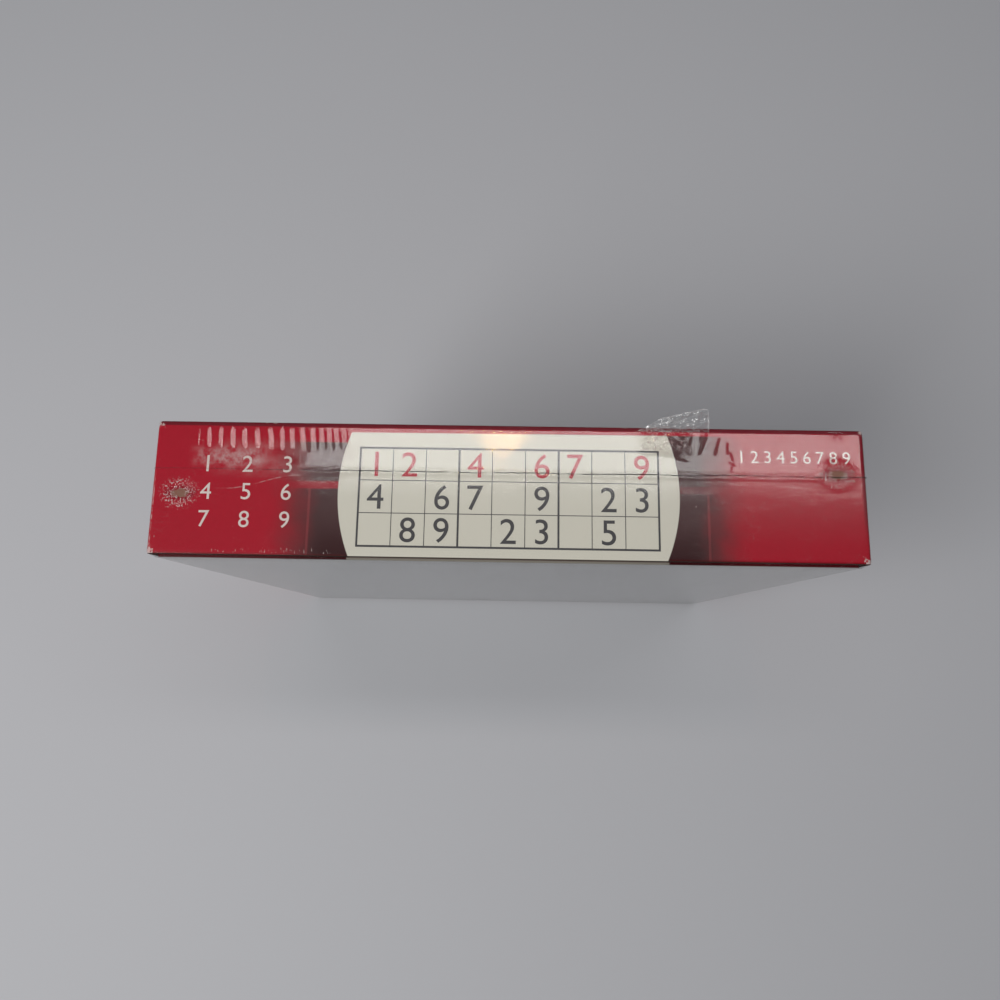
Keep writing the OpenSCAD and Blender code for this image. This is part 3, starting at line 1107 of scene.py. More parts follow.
class Grain:
    """Smooth repeatable noise on a plane, from a seeded lattice."""

    def __init__(self, seed: int, cells: int = 128) -> None:
        """Draws the lattice."""
        self.cells = cells
        self.lattice = np.random.default_rng(seed).random((cells, cells))

    def __call__(self, u: Points, w: Points, size: float) -> Points:
        """Noise from 0 to 1.

        Args:
            u: First coordinate.
            w: Second coordinate.
            size: Size of the features in millimetres.

        Returns:
            Noise at each point.
        """
        a, b = np.asarray(u) / size, np.asarray(w) / size
        i, j = np.floor(a).astype(int), np.floor(b).astype(int)
        s, t = a - i, b - j
        s, t = s * s * (3 - 2 * s), t * t * (3 - 2 * t)
        n = self.cells
        row = [self.lattice[(i + di) % n, (j + dj) % n] for di in (0, 1) for dj in (0, 1)]
        return (row[0] * (1 - t) + row[1] * t) * (1 - s) + (row[2] * (1 - t) + row[3] * t) * s

    def folds(self, u: Points, w: Points, size: float) -> Points:
        """Noise from 0 to 1 with sharp ridges."""
        return 1 - np.abs(2 * self(u, w, size) - 1)


def step(value: Points, start: float | Points, end: float) -> Points:
    """Smooth step from 0 at start to 1 at end."""
    t = np.clip((value - start) / (end - start), 0.0, 1.0)
    return t * t * (3 - 2 * t)


def hump(value: Points, low: float, high: float, soft: float) -> Points:
    """1 between low and high, falling to 0 over a soft margin on both sides."""
    return step(value, low - soft, low) * (1 - step(value, high, high + soft))


def bell(value: Points, middle: float, reach: float) -> Points:
    """Bell curve, 1 at the middle."""
    return np.exp(-(((value - middle) / reach) ** 2))


def wave(place: Points, pitch: float) -> Points:
    """Sine of a place, with the given pitch."""
    return np.sin(2 * math.pi * place / pitch)


@dataclass(frozen=True)
class PaperWraps:
    """Printed papers pasted round the lid and the base, turned in over their rims."""

    sheet_t: float = 0.15
    edge_r: float = 0.7
    foot_r: float = 0.35
    fold_r: float = 0.3
    insets: tuple[float, ...] = (100.0, 40.0, 12.0, 3.0)
    wall_rings: int = 14
    rings: RingPlan = RingPlan(front=120, side=60)

    def _rim(self, low: float, up: float) -> Profile:
        """Profile over a rim.

        Args:
            low: Height of the rim.
            up: 1 for the lid, whose rim points down, and -1 for the base.

        Returns:
            Points from the outer wall over the rim and along the turned-in margin.
        """
        r, t = self.fold_r, PLAN.rim
        turn = np.linspace(0, math.pi / 2, 4)
        outer = [(r - r * math.cos(a), low + up * (r - r * math.sin(a))) for a in turn]
        inner = [(t - r + r * math.sin(a), low + up * (r - r * math.cos(a))) for a in turn]
        margin = [(t, low + up * h) for h in np.linspace(1.5, PLAN.turn_in, 6)]
        return outer + inner + margin

    @staticmethod
    def _dent(points: Points, corners: Sequence[tuple[float, float, float, float, float]]) -> None:
        """Presses in a few corners.

        Args:
            points: Points of the lid's paper, which are moved.
            corners: X, y and z of each corner, the reach of its dent and its depth.
        """
        middle = np.array((0.0, 0.0, PLAN.thick / 2))
        for x, y, z, reach, depth in corners:
            spot = np.array((x, y, z))
            gap = np.linalg.norm(points - spot, axis=1)
            pull = (middle - spot) / np.linalg.norm(middle - spot)
            points += np.outer((1 - step(gap, 0.0, reach)) * depth, pull)

    def _paste(self, name: str, points: Points, faces: Faces, finish: Finish) -> Object:
        """Sheet of paper with the given points, faces and finish."""
        return thicken(smooth(name, points, faces, finish.make()), self.sheet_t)

    def lid(self) -> None:
        """Makes the paper of the lid, with a few pressed-in corners."""
        r, h, top, low = self.edge_r, PLAN.lid_half, PLAN.lid_top, PLAN.lid_rim
        profile = panel(top, *self.insets) + arc((r, top - r), r, 90)
        profile += wall(top - 3, low + 2, self.wall_rings) + self._rim(low, 1.0)
        points = self.rings.loft(h, PLAN.corner, profile)
        self._dent(points, ((-h, -h, low, 3.4, 0.22), (h, -h, low, 3.0, 0.16), (-h, -h, top, 2.8, 0.2),
                            (h, -h, top, 2.6, 0.18), (h, h, top, 3.0, 0.16)))
        faces = self.rings.faces(len(profile), first_cap=True)
        paper = self._paste("lid_paper", points, faces, PrintedPaper("lid_print", Sheet.LID))
        ride(paper, "lid", "printed_paper", "lid_wrap")

    def base(self) -> None:
        """Makes the paper of the base."""
        r, low, rim = self.foot_r, PLAN.film_in, PLAN.base_rim
        profile = self._rim(rim, -1.0)[::-1] + wall(rim - 2, low + 3, self.wall_rings)
        profile += arc((r, low + r), r, 180) + panel(low, *self.insets[::-1])
        points = self.rings.loft(PLAN.base_half, PLAN.corner, profile)
        faces = self.rings.faces(len(profile), first_cap=False)
        paper = self._paste("base_paper", points, faces, PrintedPaper("base_print", Sheet.BASE))
        ride(paper, "base", "white_paper", "base_wrap")


@dataclass
class ShrinkWrap:
    """Clear film in two halves, with the seal seam, two vents and a loose tail."""

    stand_off: float = 0.14
    film_t: float = 0.04
    edge_r: float = 1.1
    insets: tuple[float, ...] = (100.0, 40.0, 10.0, 3.0)
    upper_rings: int = 36
    lower_rings: int = 48
    vent_r: float = 2.0
    vent_ragged: float = 0.35
    seam_r: float = 0.17
    seam_lift: float = 0.05
    streaks_from: float = -116.0
    streaks_to: float = -61.0
    streaks_low: float = 39.3
    streaks_high: float = 48.6
    streak_pitch: float = 4.7
    pocket_u: tuple[float, ...] = (47.5, 49.4, 54.2, 61.8, 64.0, 66.2, 70.1, 73.0)
    pocket_foot: tuple[float, ...] = (51.0, 48.9, 41.5, 39.3, 41.2, 45.6, 48.9, 51.0)
    tail_from: float = 48.2
    tail_to: float = 75.2
    tail_foot: float = 50.0
    tail_lean: float = 2.3
    tail_rise: float = 0.74
    tail_out: float = 0.92
    tail_gap: float = 0.45
    tail_shares: tuple[float, ...] = (0, 0.12, 0.35, 0.72, 0.94, 1)
    tail_reach: tuple[float, ...] = (0.3, 2.2, 5.6, 8.0, 9.2, 8.9)
    tail_across: int = 64
    tail_along: int = 40
    rings: RingPlan = RingPlan(front=560, side=54)
    seam_rings: RingPlan = RingPlan(front=400, side=60, bend=5)
    seed: int = 11

    def __post_init__(self) -> None:
        """Draws the noise that shapes the ripples."""
        self.grain = Grain(self.seed)

    @property
    def half(self) -> float:
        """Half the width of the film."""
        return PLAN.lid_half + self.stand_off

    def _streaks(self, u: Points, w: Points) -> Points:
        """Upright ripples at the left of the far edge, which stand out and in.

        Args:
            u: Place along the wall.
            w: Height above the underside.

        Returns:
            How far the film stands out, in millimetres.
        """
        g = self.grain
        reach = 3.0 * g(u + 11, w * 0 + 9, 4.0)
        zone = hump(u, self.streaks_from, self.streaks_to, 3.0)
        zone *= step(w, self.streaks_low + reach * 0.6, self.streaks_low + 3.5)
        zone *= 1 - step(w, self.streaks_high - reach * 0.5, self.streaks_high + 2.4)
        run = u + (g(u, w, 9.0) - 0.5) * 1.82 + (w - 45) * 0.1
        turns = (run - self.streaks_from) / self.streak_pitch + 0.003 * np.maximum(run + 88.0, 0.0) ** 2
        height = 0.05 + 0.12 * np.clip((-80.0 - u) / 34.0, 0.0, 1.0)
        height *= 0.75 + 0.5 * g(u + 40, w * 0 + 3, self.streak_pitch)
        return zone * height * np.arcsin(0.96 * wave(turns, 1.0)) * 2 / math.pi

    def _pocket(self, u: Points, w: Points) -> Points:
        """Loose pocket of film that rises to the root of the tail.

        Args:
            u: Place along the wall.
            w: Height above the underside.

        Returns:
            How far the film stands out, in millimetres.
        """
        rise = np.maximum(w - np.interp(u, self.pocket_u, self.pocket_foot), 0.0)
        rise = rise * rise / (rise + 1.5)
        return 0.035 * rise + 0.1 * step(rise, 0.0, 3.0) * self.grain.folds(u + 30 + w * 0.4, w, 3.2)

    def _relief(self, u: Points, w: Points) -> Points:
        """Ripples of the film on the upper wall.

        Args:
            u: Place along the wall.
            w: Height above the underside.

        Returns:
            How far the film stands out, in millimetres.
        """
        g = self.grain
        warp = (g(u, w, 9.0) - 0.5) * 3.2
        swell = 0.08 * g(u, w, 22.0) + 0.012 * g(u + 50, w, 3.2)
        middle = 0.002 * hump(u, -11.0, 5.0, 3.0) * hump(w, 40.0, 50.0, 2.0) * wave(u + warp, 2.2)
        foot = 0.02 * hump(w, 2.5, 6.0, 2.5) * wave(u + warp * 1.4 + w * 0.3, 3.1) * g(u + 90, w, 11.0)
        corner = 0.06 * bell(u, 123.0, 6.0) * step(w, 46.0, 50.3)
        edge = 0.07 * step(w, 50.0 + 0.4 * g(u, w, 4.0), 51.0)
        seam = 0.03 * bell(w, PLAN.seal, 1.6) * step(u, -84.0, -66.0) * g(u, w * 0.3, 1.7)
        out = swell + self._streaks(u, w) + self._pocket(u, w) + middle + foot + seam - corner - edge
        for vent_u, vent_w in VENTS:
            far = np.hypot(u - vent_u, w - vent_w)
            turn = np.arctan2(w - vent_w, u - vent_u)
            spokes = np.sin(turn * 9 + far * 1.3 + 2.0 * g(u, w, 2.0))
            out += 0.07 * hump(far, 2.2, 4.4, 1.4) * (0.6 + spokes)
            out += 0.09 * hump(far, 1.5, 5.0, 2.0) * g(u + 5, w + 9, 1.5)
        return np.maximum(out * step(np.abs(u), 133.0, 131.5), -0.08)

    def _in_vent(self, spot: Points) -> bool:
        """Looks for a vent at a point.

        Args:
            spot: Its x, y and height above the underside.

        Returns:
            True where it is on the upper wall, within a vent's ragged rim.
        """
        x, y, w = spot
        return y < 1 - PLAN.lid_half and any(
            math.hypot(x - a, w - b) < self.vent_r + self.vent_ragged * math.sin(3 * math.atan2(w - b, x - a))
            for a, b in VENTS
        )

    @cached_property
    def film(self) -> Material:
        """Finish of both halves."""
        return ClearFilm("clear_film").make()

    def _half(self, name: str, profile: Profile, first_cap: bool) -> Object:
        """Rippled half of the film, open at the vents.

        Args:
            name: Piece name.
            profile: Inset and height of each ring.
            first_cap: True closes the first ring, and False the last.

        Returns:
            The finished piece.
        """
        n = self.rings.count
        points = self.rings.loft(self.half, PLAN.corner + self.stand_off, profile)
        on_wall = np.repeat([abs(inset) < 0.01 for inset, _ in profile], n)
        front = np.tile(np.arange(n) < self.rings.front, len(profile)) & on_wall
        points[front, 1] -= self._relief(points[front, 0], points[front, 2])
        faces = [face for face in self.rings.faces(len(profile), first_cap)
                 if not self._in_vent(points[face].mean(axis=0))]
        return thicken(smooth(name, points, faces, self.film), self.film_t)

    def upper(self) -> None:
        """Makes the film over the lid, down to the seal."""
        top, r = PLAN.lid_top + self.stand_off, self.edge_r
        profile = panel(top, *self.insets) + arc((r, top - r), r, 90)
        profile += wall(top - r - 0.1, PLAN.seal, self.upper_rings)
        ride(self._half("film_over_lid", profile, first_cap=True), "lid", "film", "film_upper")

    def lower(self) -> None:
        """Makes the film round the base, from the seal down and across the underside."""
        low, rim = PLAN.film_in - self.stand_off, PLAN.lid_rim
        foot = PLAN.lid_half - PLAN.base_half
        profile = wall(PLAN.seal, rim + 0.5, self.lower_rings)
        profile += [(0.12, rim - 0.1), (foot * 0.5, rim * 0.5 + 0.1), (foot - 0.2, low + 0.12)]
        profile += panel(low, foot + 0.8, foot + 12.0, *self.insets[1::-1])
        ride(self._half("film_round_base", profile, first_cap=False), "base", "film", "film_lower")

    def seam(self) -> None:
        """Makes the seal bead along three walls, swept along its path."""
        plan, g = self.seam_rings, self.grain
        side = plan.side + plan.bend - 1
        flat = np.roll(plan.ring(self.half + self.seam_lift, PLAN.corner), side, axis=0)
        flat = flat[:plan.front + 2 * side]
        x, y = flat.T
        drift = (g(x, y, 11.0) - 0.5) * 0.5 + (g(x + 7, y, 2.6) - 0.5) * 0.22
        swell = 1 + 0.0009 * g(x, y, 1.3)[:, None]
        path = np.column_stack((flat * swell, PLAN.seal + drift))
        made = lay("film_seal", path, edges=[(i, i + 1) for i in range(len(path) - 1)])
        Sweep().apply(made, Radius=self.seam_r * MM, Finish=SealedEdge("sealed_edge").make())
        ride(made, "base", "film")

    def tail(self) -> None:
        """Makes the loose crumpled tail that stands up at the far edge."""
        across, along, g = self.tail_across, self.tail_along, self.grain
        a, b = np.meshgrid(np.linspace(0, 1, across), np.linspace(0, 1, along))
        reach = np.interp(a, self.tail_shares, self.tail_reach)
        u = self.tail_from + a * (self.tail_to - self.tail_from) - self.tail_lean * a * b
        out = reach * b
        fold = g.folds(u + 17, out * 1.6 + 5, 3.4)
        crinkle = g.folds(u + 60, out * 1.6, 1.5)
        crumple = ((fold - 0.45) * 1.5 + (crinkle - 0.45) * 0.7) * step(b, 0.0, 0.3) * step(reach, 0.2, 2.5)
        w = self.tail_foot + self.tail_rise * out - crumple * 0.6
        lift = np.maximum(self.tail_gap + self.tail_out * out + crumple, 0.3)
        points = np.column_stack((u.ravel(), -self.half - lift.ravel(), w.ravel()))
        corners = np.arange(along * across).reshape(along, across)[:-1, :-1].ravel().tolist()
        faces = [[k, k + 1, k + across + 1, k + across] for k in corners]
        # On the tail, the white scuff lines are mostly painted glints of its crinkles.
        finish = ClearFilm("tail_film", gloss=0.07, haze=0.02, lines=0.8, cell=2.4, spread=0.25,
                           white=(0.8, 0.8, 0.8))
        made = smooth("film_tail", points, faces, finish.make(), 60.0)
        # Painted highlight along the tail's top and right edges.
        hem = np.maximum(step(b, 0.93, 1.0), step(a, 0.975, 1.0) * step(b, 0.1, 0.3)) * g(u + 3, w + 8, 1.3)
        mark(made, "hem", "FLOAT", hem.ravel())
        ride(thicken(made, self.film_t), "lid", "film")


class GeometryTree(Writer):
    """Geometry Nodes tree with named inputs, one of them the finish of its result."""

    def __init__(self, name: str, **inputs: str) -> None:
        """Starts the tree.

        Args:
            name: Tree name.
            inputs: Kind of each input by its name.
        """
        super().__init__(bpy.data.node_groups.new(name, "GeometryNodeTree"))
        add = self.tree.interface.new_socket
        inputs["Finish"] = "Material"
        self.sockets = {key: add(name=key, in_out="INPUT", socket_type=f"NodeSocket{kind}").identifier
                        for key, kind in inputs.items()}
        add(name="Result", in_out="OUTPUT", socket_type="NodeSocketGeometry")
        self.given = self.tree.nodes.new("NodeGroupInput").outputs

    def close(self, result: Socket) -> None:
        """Ends the tree with plain geometry in its finish.

        Args:
            result: Geometry that the tree has made.
        """
        real = self.node("GeometryNodeRealizeInstances", None, Geometry=result).outputs[0]
        dress = self.node("GeometryNodeSetMaterial", None, Geometry=real, Material=self.given["Finish"])
        self.node("NodeGroupOutput", None, _0=dress.outputs[0])

    def apply(self, made: Object, **values: object) -> Object:
        """Runs the tree on an object.

        Args:
            made: Object whose mesh is the tree's first input.
            values: Other inputs by name.

        Returns:
            The same object with the result as its mesh.
        """
        modifier = made.modifiers.new(self.tree.name, "NODES")
        modifier.node_group = self.tree
        for name, value in values.items():
            modifier[self.sockets[name]] = value
        return settle(made)


class Sweep(GeometryTree):
    """Sweeps a round bead along a path."""

    def __init__(self, sides: int = 6) -> None:
        """Builds the tree.

        Args:
            sides: Number of sides of the bead.
        """
        super().__init__("swept_bead", Path="Geometry", Radius="Float")
        curve = self.node("GeometryNodeMeshToCurve", None, Mesh=self.given["Path"])
        circle = self.node("GeometryNodeCurvePrimitiveCircle", None, Resolution=sides,
                           Radius=self.given["Radius"])
        bead = self.node("GeometryNodeCurveToMesh", None, Curve=curve.outputs[0],
                         Profile_Curve=circle.outputs[0], Fill_Caps=True)
        self.close(bead.outputs[0])


class Numbers(GeometryTree):
    """Sets plain digits on points, each picked by the point's number."""

    def __init__(self) -> None:
        """Makes the nine digits and builds the tree."""
        super().__init__("digits_on_points", Places="Geometry", Digits="Collection", Turn="Vector",
                         Size="Float")
        self.digits = bpy.data.collections.new("digits")
        bpy.context.scene.collection.children.link(self.digits)
        for digit in range(1, 10):
            self.digits.objects.link(self._digit(digit))
        info = self.node("GeometryNodeCollectionInfo", None, Collection=self.given["Digits"],
                         Separate_Children=True, Reset_Children=True)
        number = self.node("GeometryNodeInputNamedAttribute", {"data_type": "INT"}, Name="number")
        index = self.node("FunctionNodeIntegerMath", {"operation": "SUBTRACT"}, _0=number.outputs[0], _1=1)
        placed = self.node("GeometryNodeInstanceOnPoints", None, Points=self.given["Places"],
                           Instance=info.outputs[0], Pick_Instance=True, Instance_Index=index.outputs[0],
                           Rotation=self.given["Turn"], Scale=self.given["Size"])
        self.close(placed.outputs[0])

    @staticmethod
    def _digit(number: int) -> Object:
        """A digit one unit high, centred, with a thickness of a hundredth.

        Args:
            number: Digit from 1 to 9.

        Returns:
            Its mesh object.
        """
        curve = bpy.data.curves.new(f"digit_{number}", "FONT")
        curve.body = str(number)
        curve.size = 1.0
        curve.resolution_u = 5
        curve.extrude = 0.005
        source = put(f"digit_{number}_type", curve)
        graph = bpy.context.evaluated_depsgraph_get()
        mesh = bpy.data.meshes.new_from_object(source.evaluated_get(graph))
        bpy.data.objects.remove(source)
        spots = np.array([v.co for v in mesh.vertices])
        low, high = spots.min(axis=0), spots.max(axis=0)
        scale = 1.0 / (high[1] - low[1])
        centred = Matrix.Translation(-Vector((low + high) / 2))
        mesh.transform(Matrix.Diagonal((scale, scale, 1.0, 1.0)) @ centred)
        return bpy.data.objects.new(f"digit_{number}", mesh)

    def print(self, name: str, places: Sequence[Spot], numbers: Sequence[int], wall: Wall, size: float,
              ink: Material) -> Object:
        """Sets digits at points of the lying box.

        Args:
            name: Piece name.
            places: Middle of each digit.
            numbers: The digits.
            wall: Face that they lie on.
            size: Their height in millimetres.
            ink: Their finish.

        Returns:
            One piece with all the digits.
        """
        made = lay(name, np.array(places))
        mark(made, "number", "INT", list(numbers))
        turn = (0.0 if wall is Wall.UPPER else -math.pi / 2, 0.0, 0.0)
        self.apply(made, Digits=self.digits, Turn=turn, Size=size * MM, Finish=ink)
        made.data.shade_flat()
        return made

    def clear(self) -> None:
        """Removes the loose digits once all print is made."""
        for digit in list(self.digits.objects):
            bpy.data.objects.remove(digit)
        bpy.data.collections.remove(self.digits)


def solved(row: int, col: int) -> int:
    """Number of a cell in the solved grid, each row a shift of the one above."""
    return (row * 3 + row // 3 + col) % 9 + 1


def upper_ink(row: int, col: int) -> str:
    """Ink of a cell in the band of numbers on the upper wall."""
    marks = ("rr.r.rr.r", "d.dd.d.dd", ".dd.dd.d.")
    return {"r": "red", "d": "dark", ".": ""}[marks[row][col]]


def top_ink(row: int, col: int) -> str:
    """Ink of a cell in the grid on the lid's panel.

    Args:
        row: Row of the cell.
        col: Column of the cell.

    Returns:
        Name of the ink, or no text for an empty cell.
    """
    pick = (row * 7 + col * 5 + row * col) % 11
    if pick in (0, 3, 8):
        return "dark"
    return "red" if pick == 5 else ""


@dataclass(frozen=True)
class Grid:
    """A grid of square cells on a face of the lid.

    Its middle is a place along the upper wall and a height above the underside, or a place
    across and up the lid's panel. Its ink gives the ink of a cell by row and column, or no text.
    """

    wall: Wall
    middle: tuple[float, float]
    cell: float
    columns: int
    rows: int
    digit: float
    ink: Callable[[int, int], str]


# Corners of each face of a box, whose lower and upper corners are numbered round in turn.
BOX_FACES = ((3, 2, 1, 0), (4, 5, 6, 7), (0, 1, 5, 4), (1, 2, 6, 5), (2, 3, 7, 6), (3, 0, 4, 7))


@dataclass
class BoxPrint:
    """Plain numbers and ruled grids printed on the lid."""

    numbers: Numbers
    inks: dict[str, Material]
    ink_lift: float = 0.02
    ink_sunk: float = 0.01
    fine_rule: float = 0.3
    bold_rule: float = 0.75
    upper: Grid = Grid(Wall.UPPER, (0.0, 23.8), 12.4, 9, 3, 9.3, upper_ink)
    top: Grid = Grid(Wall.LID_TOP, (0.0, 0.0), 12.6, 9, 9, 8.6, top_ink)
    left_u: float = -113.0
    left_w: float = 35.5
    left_pitch: tuple[float, float] = (15.0, 10.5)
    left_digit: float = 6.2
    right_u: float = 87.0
    right_w: float = 41.0
    right_pitch: float = 4.9
    right_digit: float = 4.7

    @staticmethod
    def _place(wall: Wall, u: float, v: float, lift: float) -> Spot:
        """Point on a printed wall.

        Args:
            wall: Face of the lid.
            u: Distance from its middle, to the right.
            v: Height above the underside, or distance up from the middle of the lid's panel.
            lift: Distance out of the paper.

        Returns:
            The point on the lying box.
        """
        if wall is Wall.UPPER:
            return (u, -PLAN.lid_half - lift, v)
        return (u, v, PLAN.lid_top + lift)

    def _rules(self, name: str, grid: Grid) -> Object:
        """Ruled grid, bold round each block of three by three.

        Args:
            name: Piece name.
            grid: Grid to rule.

        Returns:
            The ruled lines as one piece.
        """
        counts = (grid.columns, grid.rows)
        points, faces = [], []
        for axis in (0, 1):
            reach = counts[1 - axis] * grid.cell / 2 + self.bold_rule / 2
            lift = self.ink_lift * (0.8 if axis else 1.0)
            for i in range(counts[axis] + 1):
                wide = self.bold_rule if i % 3 == 0 else self.fine_rule
                at = i * grid.cell - counts[axis] * grid.cell / 2
                low, high = (at - wide / 2, -reach), (at + wide / 2, reach)
                if axis == 1:
                    low, high = low[::-1], high[::-1]
                first = len(points)
                for d in (-self.ink_sunk, lift):
                    for u, v in (low, (high[0], low[1]), high, (low[0], high[1])):
                        points.append(self._place(grid.wall, grid.middle[0] + u, grid.middle[1] + v, d))
                faces += [[first + k for k in face] for face in BOX_FACES]
        return smooth(name, np.array(points), faces, self.inks["dark"])

    def _cells(self, name: str, grid: Grid) -> list[Object]:
        """Numbers of the top rows of the solved grid, some cells left empty.

        Args:
            name: Start of the pieces' names.
            grid: Grid to fill.

        Returns:
            One piece for each ink.
        """
        made = []
        for key in ("red", "dark"):
            places, digits = [], []
            for row, col in np.ndindex(grid.rows, grid.columns):
                if grid.ink(row, col) == key:
                    u = grid.middle[0] + (col - (grid.columns - 1) / 2) * grid.cell
                    v = grid.middle[1] - (row - (grid.rows - 1) / 2) * grid.cell
                    places.append(self._place(grid.wall, u, v, self.ink_lift))
                    digits.append(solved(row, col))
            ink = self.inks[key]
            made.append(self.numbers.print(f"{name}_{key}", places, digits, grid.wall, grid.digit, ink))
        return made

    def _row(self, name: str, start: tuple[float, float], pitch: float, digits: Sequence[int],
             size: float) -> Object:
        """Row of white digits on the upper wall.

        Args:
            name: Object name.
            start: Place along the wall and height of the first digit's middle.
            pitch: Distance from digit to digit.
            digits: The digits in order.
            size: Height of a digit.

        Returns:
            The object.
        """
        places = [self._place(Wall.UPPER, start[0] + i * pitch, start[1], self.ink_lift)
                  for i in range(len(digits))]
        return self.numbers.print(name, places, digits, Wall.UPPER, size, self.inks["white"])

    def lid(self) -> None:
        """Makes all the print of the lid."""
        made = self._cells("upper_numbers", self.upper)
        made.append(self._rules("upper_rules", self.upper))
        across, down = self.left_pitch
        for line in range(3):
            digits = range(line * 3 + 1, line * 3 + 4)
            made.append(self._row(f"left_numbers_{line + 1}", (self.left_u, self.left_w - line * down),
                                  across, digits, self.left_digit))
        made.append(self._row("right_numbers", (self.right_u, self.right_w), self.right_pitch,
                              range(1, 10), self.right_digit))
        made += self._cells("top_numbers", self.top)
        made.append(self._rules("top_rules", self.top))
        for piece in made:
            ride(piece, "lid", "printed_paper")


@dataclass
class TileFaces:
    """Loose tiles with numbers filled into their tops."""

    numbers: Numbers
    inks: dict[str, Material]
    top: float = 49.2
    ink_lift: float = 0.02
    size: float = 13.5
    ivory: Colour = (0.72, 0.68, 0.56)

    @staticmethod
    def _cell(index: int) -> float:
        """Middle of a row or column of cells."""
        return (index // 3 - 1) * (PLAN.window + PLAN.bar) + (index % 3 - 1) * PLAN.window / 3

    def tiles(self) -> None:
        """Dresses the tiles and makes the nine digits of each number."""
        plastic = MouldedPlastic("ivory_tile", self.ivory, rough=0.24, spark=0.6, tone=0.2).make()
        for number in range(1, 10):
            wear(f"tiles_{number}", plastic)
            places = [(self._cell(col), -self._cell(row), self.top + self.ink_lift)
                      for row, col in np.ndindex(9, 9) if solved(row, col) == number]
            ink = self.inks["red" if number % 2 else "dark"]
            made = self.numbers.print(f"tile_digits_{number}", places, [number] * len(places),
                                      Wall.LID_TOP, self.size, ink)
            ride(made, f"tiles_{number}", "tile_plastic")


@dataclass(frozen=True)
class Lamp:
    """A soft rectangular lamp, in metres, that faces down or a given point.

    Its glow is the brightness of its face, where 1 is white.
    """

    name: str
    at: Spot
    size: tuple[float, float]
    glow: float
    colour: Colour
    aim: Spot | None = None

    def hang(self) -> None:
        """Adds the lamp to the scene, out of the camera's sight."""
        data = bpy.data.lights.new(self.name, "AREA")
        data.shape = "RECTANGLE"
        data.size, data.size_y = self.size
        data.energy = self.glow * math.pi * self.size[0] * self.size[1]
        data.color = self.colour
        made = put(self.name, data)
        made.location = self.at
        if self.aim is not None:
            made.rotation_mode = "QUATERNION"
            made.rotation_quaternion = (Vector(self.aim) - Vector(self.at)).to_track_quat("-Z", "Y")
        made.visible_camera = False


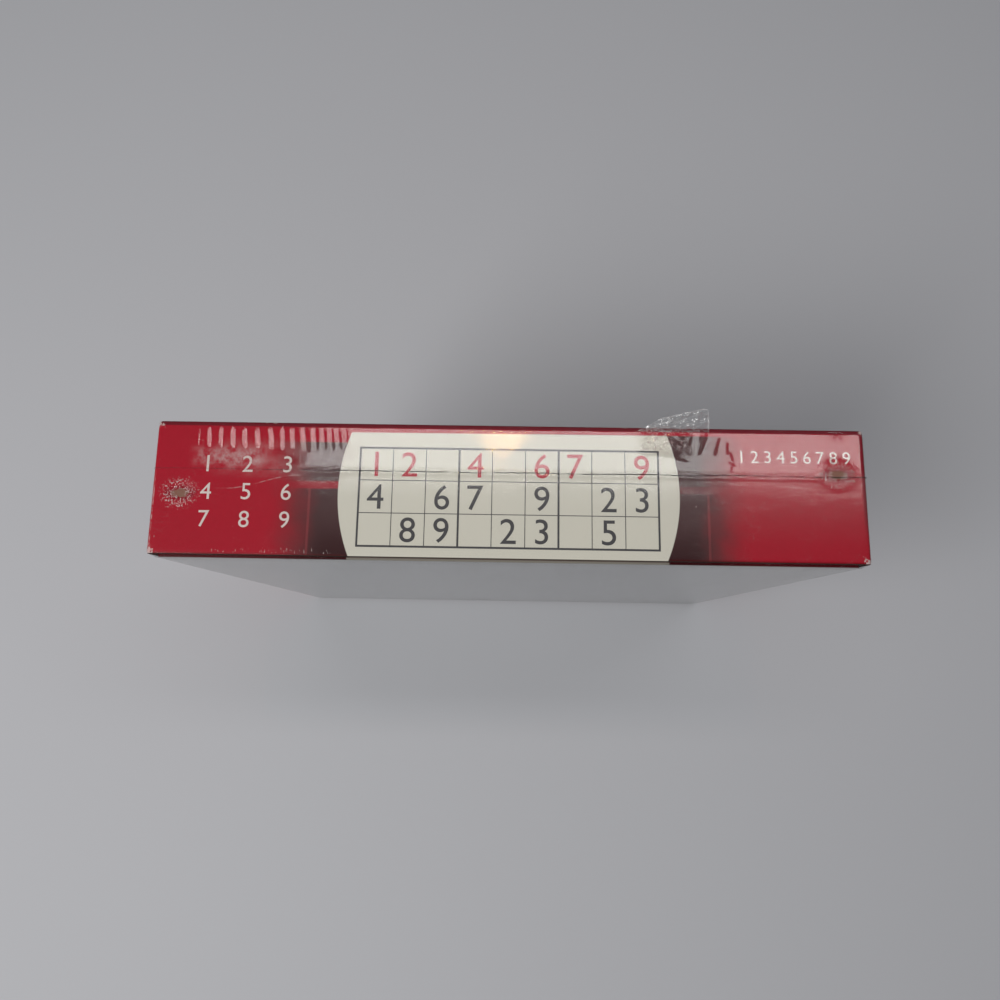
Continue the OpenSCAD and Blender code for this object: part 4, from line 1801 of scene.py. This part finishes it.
@dataclass(frozen=True)
class Studio:
    """Camera, floor and soft light."""

    focal_px: float = 776.0
    image_px: float = 1000.0
    sensor: float = 36.0
    clip: tuple[float, float] = (0.01, 50.0)
    place: Spot = (-0.73, -55.24, 550.31)
    turns: Spot = (10.468, 0.478, 0.878)
    floor_reach: float = 4.0
    sky: Colour = (0.93, 0.95, 1.0)
    sky_glow: float = 0.17
    lamps: tuple[Lamp, ...] = (
        Lamp("key", (-0.85, -0.55, 1.35), (0.9, 0.7), 6.6, (1.0, 0.985, 0.965), aim=(0.0, 0.0, 0.267)),
        Lamp("pane", (0.16, 0.276, 1.27), (1.01, 0.116), 5.4, (1.0, 0.98, 0.97)),
        Lamp("small_lamp", (-0.012, 0.286, 1.26), (0.011, 0.032), 100.0, (1.0, 0.52, 0.16)),
    )

    def camera(self) -> None:
        """Sets the camera at the photo's view."""
        data = bpy.data.cameras.new("view")
        data.sensor_width = self.sensor
        data.lens = self.focal_px / self.image_px * self.sensor
        data.clip_start, data.clip_end = self.clip
        made = put("view", data)
        made.matrix_world = reduce(
            Matrix.__matmul__,
            (Matrix.Rotation(math.radians(turn), 4, axis) for turn, axis in zip(self.turns, "XYZ")),
            Matrix.Translation(Vector(self.place) * MM),
        )
        bpy.context.scene.camera = made

    def floor(self, material: Material) -> Object:
        """Pale floor under the box.

        Args:
            material: Its finish.

        Returns:
            The floor.
        """
        r = self.floor_reach
        mesh = bpy.data.meshes.new("floor")
        mesh.from_pydata([(-r, -r, 0), (r, -r, 0), (r, r, 0), (-r, r, 0)], [], [(0, 1, 2, 3)])
        mesh.materials.append(material)
        return put("floor", mesh)

    def light(self) -> None:
        """Sets the world and hangs the lamps."""
        scene = bpy.context.scene
        scene.view_settings.view_transform = "Standard"
        scene.world = bpy.data.worlds.new("room")
        scene.world.use_nodes = True
        back = scene.world.node_tree.nodes["Background"]
        back.inputs["Color"].default_value = (*self.sky, 1.0)
        back.inputs["Strength"].default_value = self.sky_glow
        for lamp in self.lamps:
            lamp.hang()


def dress_nodes() -> None:
    """Puts finishes on the frame nodes inside the box."""
    finishes = {
        FibreBoard("grey_board", (0.3, 0.27, 0.23), (0.16, 0.13, 0.1)):
            ("lid_shell", "base_shell", "board_core"),
        FibreBoard("kraft_stay", (0.45, 0.33, 0.2), (0.3, 0.2, 0.11), fibre=0.9):
            ("lid_corner_stays", "base_corner_stays"),
        FibreBoard("liner_paper", (0.035, 0.033, 0.036), (0.07, 0.066, 0.07), rough=0.7): ("board_liner",),
        CoatedCard("folding_card"): ("card_insert",),
        BoardSheet("board_print"): ("board_face",),
        MouldedPlastic("red_frame", (0.23, 0.012, 0.02), rough=0.36): ("grid_frame",),
        PrintedPaper("cover_print", Sheet.COVER): ("booklet_cover",),
        PageEdges("page_block"): ("booklet_pages",),
        DrawnWire("staple_wire"): ("booklet_staples",),
        LeafletPrint("leaflet_print"): ("rules_leaflet",),
    }
    for finish, nodes in finishes.items():
        material = finish.make()
        for node in nodes:
            wear(node, material)


def main() -> None:
    """Builds every piece in order and dresses the frame."""
    logging.basicConfig(level=logging.INFO, format="%(message)s")
    studio = Studio()
    studio.camera()
    studio.light()
    studio.floor(FloorPaint("pale_table").make())

    wraps, film = PaperWraps(), ShrinkWrap()
    for build in (wraps.lid, wraps.base, film.upper, film.tail, film.lower, film.seam):
        build()

    numbers = Numbers()
    colours = {"red": (0.5, 0.03, 0.05), "dark": (0.035, 0.035, 0.04), "white": (0.74, 0.65, 0.61)}
    inks = {key: Ink(f"{key}_ink", colour).make() for key, colour in colours.items()}
    BoxPrint(numbers, inks).lid()
    TileFaces(numbers, inks).tiles()
    numbers.clear()

    dress_nodes()


if __name__ == "__main__":
    main()
